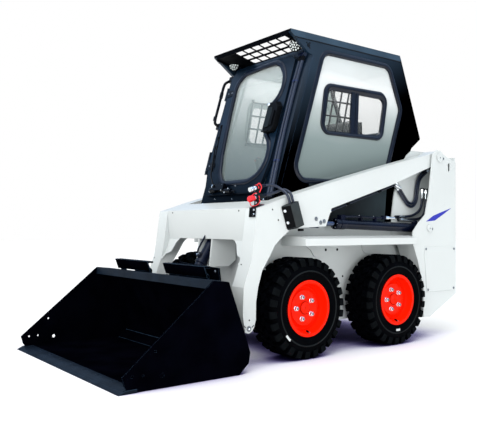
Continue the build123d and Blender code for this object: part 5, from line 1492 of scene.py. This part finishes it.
S = Shape()
for x in (-130, 130):
    S.tube(lay(seat, steps(P(x, 430, 1000), P(x, 828, 1000)), -Z, 0.0005), 2.4, 0, 8)
for y in (520, 620, 720):
    S.tube(lay(seat, steps(P(-128, y, 1000), P(128, y, 1000)), -Z, 0.0003), 1.8, 0, 8)
fw = P(0, ax.y, -ax.x) - P(0, 0, 0)
fw = Vector((0, ax.y, -ax.x)).normalized()
for x in (-118, 118):
    S.tube(lay(back, [P(x, (b0 + ax * t).x, (b0 + ax * t).y) for t in range(30, 530, 20)], fw, 0.0005), 2.4, 0, 8)
for t in (150, 270, 390):
    S.tube(lay(back, steps(P(-116, (b0 + ax * t).x, (b0 + ax * t).y), P(116, (b0 + ax * t).x, (b0 + ax * t).y)), fw, 0.0003), 1.8, 0, 8)
S.build("seat_piping", "chassis", ["seal"], bevel=0.0)
S = Shape()
for x in (-138, -122, 122, 138):
    pts = lay(seat, steps(P(x, 430, 1000), P(x, 828, 1000), 66), -Z, 0.0002)
    for i in range(0, len(pts) - 1, 2):
        S.tube([pts[i], pts[i + 1]], 0.8, 0, 5)
for x in (-126, -110, 110, 126):
    pts = lay(back, [P(x, (b0 + ax * t).x, (b0 + ax * t).y) for t in range(30, 530, 6)], fw, 0.0002)
    for i in range(0, len(pts) - 1, 2):
        S.tube([pts[i], pts[i + 1]], 0.8, 0, 5)
S.build("seat_stitches", "chassis", ["stitch"], bevel=0.0)
# seat shell behind the back cushion, belt and buckle
S = Shape()
out = [(-205, 1040), (205, 1040), (212, 1300), (176, 1540), (-176, 1540), (-212, 1300)]
S.prismoid([P(x, 874 + (z - 1016) * 0.126, z) for x, z in out], [P(x * 0.97, 866 + (z - 1016) * 0.126, z) for x, z in out], 0)
for s in (1, -1):
    S.tube([P(s * 232, 792, 930), P(s * 236, 800, 980), P(s * 226, 790, 1030)], 20, 1, 8, flat=0.12)
    S.obox(P(s * 228, 788, 1044), X * 0.012, Y * 0.018, Z * 0.030, 0)
S.build("seat_shell_and_buckles", "chassis", ["plastic", "vinyl"], bevel=1.5)
# levers: gaiters, ribbed grips, switches; consoles: pads, knobs
S = Shape()
for s in (1, -1):
    base, tip = P(s * 310, 400, 1058), P(s * 310, 370, 1200)
    d = (tip - base).normalized()
    S.lathe(base, d, [(-2, 0.01), (-2, 40), (6, 40), (12, 33), (18, 35), (26, 27), (32, 29), (40, 21), (46, 23), (56, 15), (62, 12.4), (62, 0.01)], 0, 28)
    g0_, g1_ = P(s * 310, 376, 1180), P(s * 310, 356, 1270)
    e = (g1_ - g0_).normalized()
    prof = [(-4, 20), (-2, 23)]
    for k in range(8):
        prof += [(4 + k * 8, 24.2), (8 + k * 8, 22.6)]
    prof += [(72, 25), (88, 25.5), (97, 21), (100, 12), (100, 0.01), (-4, 0.01)]
    S.lathe(g0_, e, prof, 0, 24)
    top = g1_ + e * 0.006
    S.cyl(top + X * 0.007, top + X * 0.007 + e * 0.007, 5, 1, 12)
    S.cyl(top - X * 0.007, top - X * 0.007 + e * 0.007, 5, 2, 12)
    S.cyl(g1_ - Y * 0.020 - Z * 0.012, g1_ - Y * 0.030 - Z * 0.012, 6, 1, 12)
    S.box(*sorted((s * 279, s * 341)), 450, 636, 1059, 1071, 0)
    for k in range(4):
        S.cyl(P(s * 310, 470 + k * 34, 1070), P(s * 310, 470 + k * 34, 1078), 8, 3 if k % 2 else 1, 16)
S.build("lever_gaiters_and_grips", "chassis", ["plastic", "red", "stripe", "steel_dull"], bevel=0.6, angle=40)
# ribbed mat
lo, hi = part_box("footwell_floor")
S = Shape()
for i in range(13):
    x = lo.x * 1000 + 40 + i * ((hi.x - lo.x) * 1000 - 80) / 12
    S.prismoid([P(x - 3, 0, 0) * 0 + Vector(((x - 3) / 1000, lo.y + 0.04, hi.z)), Vector(((x + 3) / 1000, lo.y + 0.04, hi.z)), Vector(((x + 3) / 1000, hi.y - 0.04, hi.z)), Vector(((x - 3) / 1000, hi.y - 0.04, hi.z))],
               [Vector(((x - 1.6) / 1000, lo.y + 0.042, hi.z + 0.003)), Vector(((x + 1.6) / 1000, lo.y + 0.042, hi.z + 0.003)), Vector(((x + 1.6) / 1000, hi.y - 0.042, hi.z + 0.003)), Vector(((x - 1.6) / 1000, hi.y - 0.042, hi.z + 0.003))], 0)
S.build("floor_mat_ribs", "chassis", ["mat"], bevel=0.0)

# ---- hoses --------------------------------------------------------------
LOOPS = {"a": [(985, 1061), (1045, 1002), (1112, 930), (1172, 915), (1222, 960), (1230, 1048), (1262, 1142), (1363, 1190)],
         "b": [(999, 1076), (1059, 1016.5), (1121, 950), (1166, 939), (1203, 972), (1210, 1052), (1247, 1157), (1354, 1208)]}
FEEDS = {"c": [(1284, 988), (1281, 940), (1252, 894), (1186, 860), (1110, 849), (1035, 847)],
         "d": [(1325, 985), (1322, 920), (1303, 866), (1258, 837), (1180, 829), (1065, 827)]}
RISERS = [(380, 925), (379, 990), (369, 1130), (357, 1320), (353.5, 1500), (354.5, 1680), (361, 1790), (361, 1850)]
BOOM = {"upper": [(475, -254, 1006), (475, -205.7, 1018.96), (492, -160, 1016), (515, -128, 992), (556, -119, 962), (568.05, -111.56, 914.11), (568.05, -96.58, 870.61)],
        "lower": [(475, -248, 951), (475, -199.4, 962.6), (484, -150, 975), (508, -104, 998), (555, -92, 972), (568.05, -86.98, 922.57), (568.05, -72.0, 879.07)]}


def route(name, points, bevel=0.0):
    """One open NURBS spline along the route's points."""
    cu = bpy.data.curves.new(name, "CURVE")
    cu.dimensions = "3D"
    cu.resolution_u = 14
    sp = cu.splines.new("NURBS")
    sp.points.add(len(points) - 1)
    for q, p in zip(sp.points, points):
        q.co = (*p, 1.0)
    sp.order_u = 3
    sp.use_endpoint_u = True
    cu.bevel_depth = bevel
    cu.bevel_resolution = 5
    cu.use_fill_caps = True
    o = bpy.data.objects.new(name, cu)
    scene.collection.objects.link(o)
    return o


def followed(name, points):
    """Points along the route's own spline."""
    o = route(name, points)
    me = bpy.data.meshes.new_from_object(o)
    out = [v.co.copy() for v in me.vertices]
    bpy.data.meshes.remove(me)
    bpy.data.objects.remove(o)
    return out


for sd, s in (("left", 1), ("right", -1)):
    for key, pts in LOOPS.items():
        pts = [P(s * 444, y, z) for y, z in pts]
        line = followed("line", pts)
        S = Shape()
        S.tube(line, 9.0, 0, 18)
        o = S.build(f"{sd}_loop_hose_{key}", "lift_arms", ["hose"], ride=False, angle=60)
        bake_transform(o)
        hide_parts("loop_hoses")
    for key, pts in FEEDS.items():
        pts = [P(s * 444, y, z) for y, z in pts]
        o = route(f"{sd}_feed_hose_{key}", pts, 0.009)
        o.data.materials.append(M["hose"])
        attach(o, "chassis")
        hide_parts("feed_hoses")
for i, dx in enumerate((0, 25)):
    pts = [front(x + dx, z, 12) for x, z in RISERS]
    o = route(f"pillar_conduit_{i + 1}", pts, 0.0105)
    o.data.materials.append(M["hose"])
    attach(o, "chassis")
    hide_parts("pillar_conduits")
for key, pts in BOOM.items():
    pts = [P(*p) for p in pts]
    o = route(f"boom_hose_{key}", pts, 0.008)
    o.data.materials.append(M["hose"])
    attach(o, "lift_arms")
    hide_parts("boom_hoses")

# ferrules, clips and ties along the fixed hoses
S = Shape()
for y, z in ((1284, 988), (1325, 985)):
    S.cyl(P(444, y, z + 62), P(444, y, z + 34), 12.5, 0, 6)
    S.cyl(P(444, y, z + 34), P(444, y - 0.2, z - 4), 11.4, 0, 20)
for (y, z), (y2, z2) in (((1035, 847), (1072, 848)), ((1065, 827), (1102, 827))):
    S.cyl(P(444, y, z), P(444, y2, z2), 11.4, 0, 20)
    S.cyl(P(444, y - 16, z), P(444, y, z), 12.5, 0, 6)
for (y, z), (y2, z2) in (((1363, 1190), (1330, 1177)), ((1354, 1208), (1320, 1194))):
    S.cyl(P(444, y, z), P(444, y2, z2), 11.4, 0, 20)
S.mirror()
S.build("hose_ferrules", "chassis", ["steel"], bevel=0.5)
S = Shape()
for (y, z), (y2, z2) in (((985, 1061), (1011, 1035.6)), ((999, 1076), (1025, 1050.4))):
    S.cyl(P(444, y - 14, z + 13.6), P(444, y, z), 12.6, 0, 6)
    S.cyl(P(444, y, z), P(444, y2, z2), 11.4, 0, 20)
S.mirror()
S.build("arm_hose_ferrules", "lift_arms", ["steel"], bevel=0.5)
S = Shape()
for z in (1180, 1690):
    x = 366 if z < 1300 else 354.5
    c = front(x + 12.5, z, 12)
    loop = []
    for k in range(24):
        t = 2 * math.pi * k / 24
        loop.append(c + X * ((12.5 if math.cos(t) > 0 else -12.5) * 0.001 + 0.0118 * math.cos(t)) + NRM * (0.0118 * math.sin(t)))
    S.prismoid([p - UPV * 0.0035 for p in loop], [p + UPV * 0.0035 for p in loop], 0)
    S.obox(front(x + 12.5, z, 25), X * 0.006, UPV * 0.006, NRM * 0.004, 0)
S.build("conduit_ties", "chassis", ["tie"], bevel=0.5)
S = Shape()
for x, z in ((380, 940), (405, 940), (361, 1838), (386, 1838)):
    S.lathe(front(x, z, 12), UPV, [(-16, 10.2), (-16, 13), (-12, 14.5), (10, 14.5), (14, 12), (14, 10.2)], 0, 24)
S.build("conduit_collars", "chassis", ["plastic"], bevel=0.4)

# ---- camera -------------------------------------------------------------
cam = bpy.data.objects.new("camera", bpy.data.cameras.new("camera"))
scene.collection.objects.link(cam)
az, el, roll = math.radians(52.9168), math.radians(1.1078), math.radians(0.18507)
fwd = Vector((-math.sin(az) * math.cos(el), math.cos(az) * math.cos(el), math.sin(el)))
rgt = Vector((math.cos(az), math.sin(az), 0))
upc = rgt.cross(fwd)
cr, cu = rgt * math.cos(roll) + upc * math.sin(roll), upc * math.cos(roll) - rgt * math.sin(roll)
mw = Matrix((cr, cu, -fwd)).transposed().to_4x4()
mw.translation = Vector((3.36939, -2.60267 - 0.142, 0.76847))
cam.matrix_world = mw
cam.data.sensor_width = 36.0
cam.data.lens = 642.951 / 477 * 36.0
cam.data.clip_end = 100
scene.camera = cam

# ---- studio -------------------------------------------------------------
scene.view_settings.view_transform = "Standard"
scene.view_settings.look = "None"
world = bpy.data.worlds.new("studio")
scene.world = world
world.use_nodes = True
nt = world.node_tree
nt.nodes.clear()
out = nt.nodes.new("ShaderNodeOutputWorld")
lp = nt.nodes.new("ShaderNodeLightPath")
tc = nt.nodes.new("ShaderNodeTexCoord")
sep = nt.nodes.new("ShaderNodeSeparateXYZ")
nt.links.new(tc.outputs["Generated"], sep.inputs["Vector"])
ramp = nt.nodes.new("ShaderNodeValToRGB")
cr_ = ramp.color_ramp
for i, (pos, c) in enumerate(((0.0, (0.01, 0.015, 0.025)), (0.08, (0.02, 0.03, 0.05)), (0.28, (0.32, 0.50, 0.78)), (1.0, (1.1, 1.35, 1.8)))):
    e = cr_.elements[i] if i < 2 else cr_.elements.new(pos)
    e.position = pos
    e.color = (*c, 1)
nt.links.new(sep.outputs["Z"], ramp.inputs["Fac"])
bgs = []
for colour, strength in (((1.0, 1.0, 1.0), 1.0), ((0.97, 0.99, 1.0), 1.0), (None, 1.0)):
    bg = nt.nodes.new("ShaderNodeBackground")
    if colour:
        bg.inputs["Color"].default_value = (*colour, 1)
    else:
        nt.links.new(ramp.outputs["Color"], bg.inputs["Color"])
    bg.inputs["Strength"].default_value = strength
    bgs.append(bg)
m1 = nt.nodes.new("ShaderNodeMixShader")
nt.links.new(lp.outputs["Is Glossy Ray"], m1.inputs["Fac"])
nt.links.new(bgs[1].outputs["Background"], m1.inputs[1])
nt.links.new(bgs[2].outputs["Background"], m1.inputs[2])
m2 = nt.nodes.new("ShaderNodeMixShader")
nt.links.new(lp.outputs["Is Camera Ray"], m2.inputs["Fac"])
nt.links.new(m1.outputs["Shader"], m2.inputs[1])
nt.links.new(bgs[0].outputs["Background"], m2.inputs[2])
nt.links.new(m2.outputs["Shader"], out.inputs["Surface"])


def aim(o, at):
    o.rotation_euler = (Vector(at) - o.location).to_track_quat("-Z", "Y").to_euler()


sun = bpy.data.objects.new("sun", bpy.data.lights.new("sun", "SUN"))
sun.data.energy = 1.10
sun.data.angle = math.radians(50)
sun.location = (1.0, -1.8, 6.0)
aim(sun, (0, 0.3, 0.6))
scene.collection.objects.link(sun)
key = bpy.data.objects.new("key", bpy.data.lights.new("key", "AREA"))
key.data.energy = 130
key.data.size = 3.0
key.location = (3.4, -5.2, 2.6)
aim(key, (0.4, 0.4, 0.9))
scene.collection.objects.link(key)
box = bpy.data.objects.new("side_softbox", bpy.data.lights.new("side_softbox", "AREA"))
box.data.energy = 8
box.data.size = 1.6
box.data.color = (0.65, 0.82, 1.0)
box.location = (3.7, 2.9, 3.2)
aim(box, (0.4, -0.1, 1.8))
scene.collection.objects.link(box)
low = bpy.data.objects.new("low_fill", bpy.data.lights.new("low_fill", "AREA"))
low.data.energy = 5
low.data.size = 1.3
low.location = (2.6, 0.35, 0.5)
aim(low, (0.2, 0.30, 0.55))
scene.collection.objects.link(low)
dome = bpy.data.objects.new("cab_fill", bpy.data.lights.new("cab_fill", "AREA"))
dome.data.energy = 5
dome.data.size = 0.6
dome.location = P(0, 640, 1940)
aim(dome, P(0, 620, 1000))
scene.collection.objects.link(dome)

fm = bpy.data.materials.new("studio_floor_painted_shadow")
fm.use_nodes = True
fb = fm.node_tree.nodes["Principled BSDF"]
# painted contact shadow: the floor's colour darkens to violet where ambient occlusion finds the machine close above
ao = fm.node_tree.nodes.new("ShaderNodeAmbientOcclusion")
ao.inputs["Distance"].default_value = 0.32
fr = fm.node_tree.nodes.new("ShaderNodeValToRGB")
for i, (pos, c) in enumerate(((0.0, (0.002, 0.001, 0.02)), (0.22, (0.02, 0.012, 0.09)), (0.40, (0.25, 0.21, 0.50)), (0.60, (0.86, 0.84, 0.94)), (1.0, (0.92, 0.92, 0.92)))):
    e = fr.color_ramp.elements[i] if i < 2 else fr.color_ramp.elements.new(pos)
    e.position = pos
    e.color = (*c, 1)
fm.node_tree.links.new(ao.outputs["AO"], fr.inputs["Fac"])
fm.node_tree.links.new(fr.outputs["Color"], fb.inputs["Base Color"])
fb.inputs["Roughness"].default_value = 0.9
fb.inputs["Specular IOR Level"].default_value = 0.1
bpy.ops.mesh.primitive_plane_add(size=60, location=(0, 0, -0.0005))
floor = bpy.context.object
floor.name = "floor"
floor.data.materials.append(fm)
floor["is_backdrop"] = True

lo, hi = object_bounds()
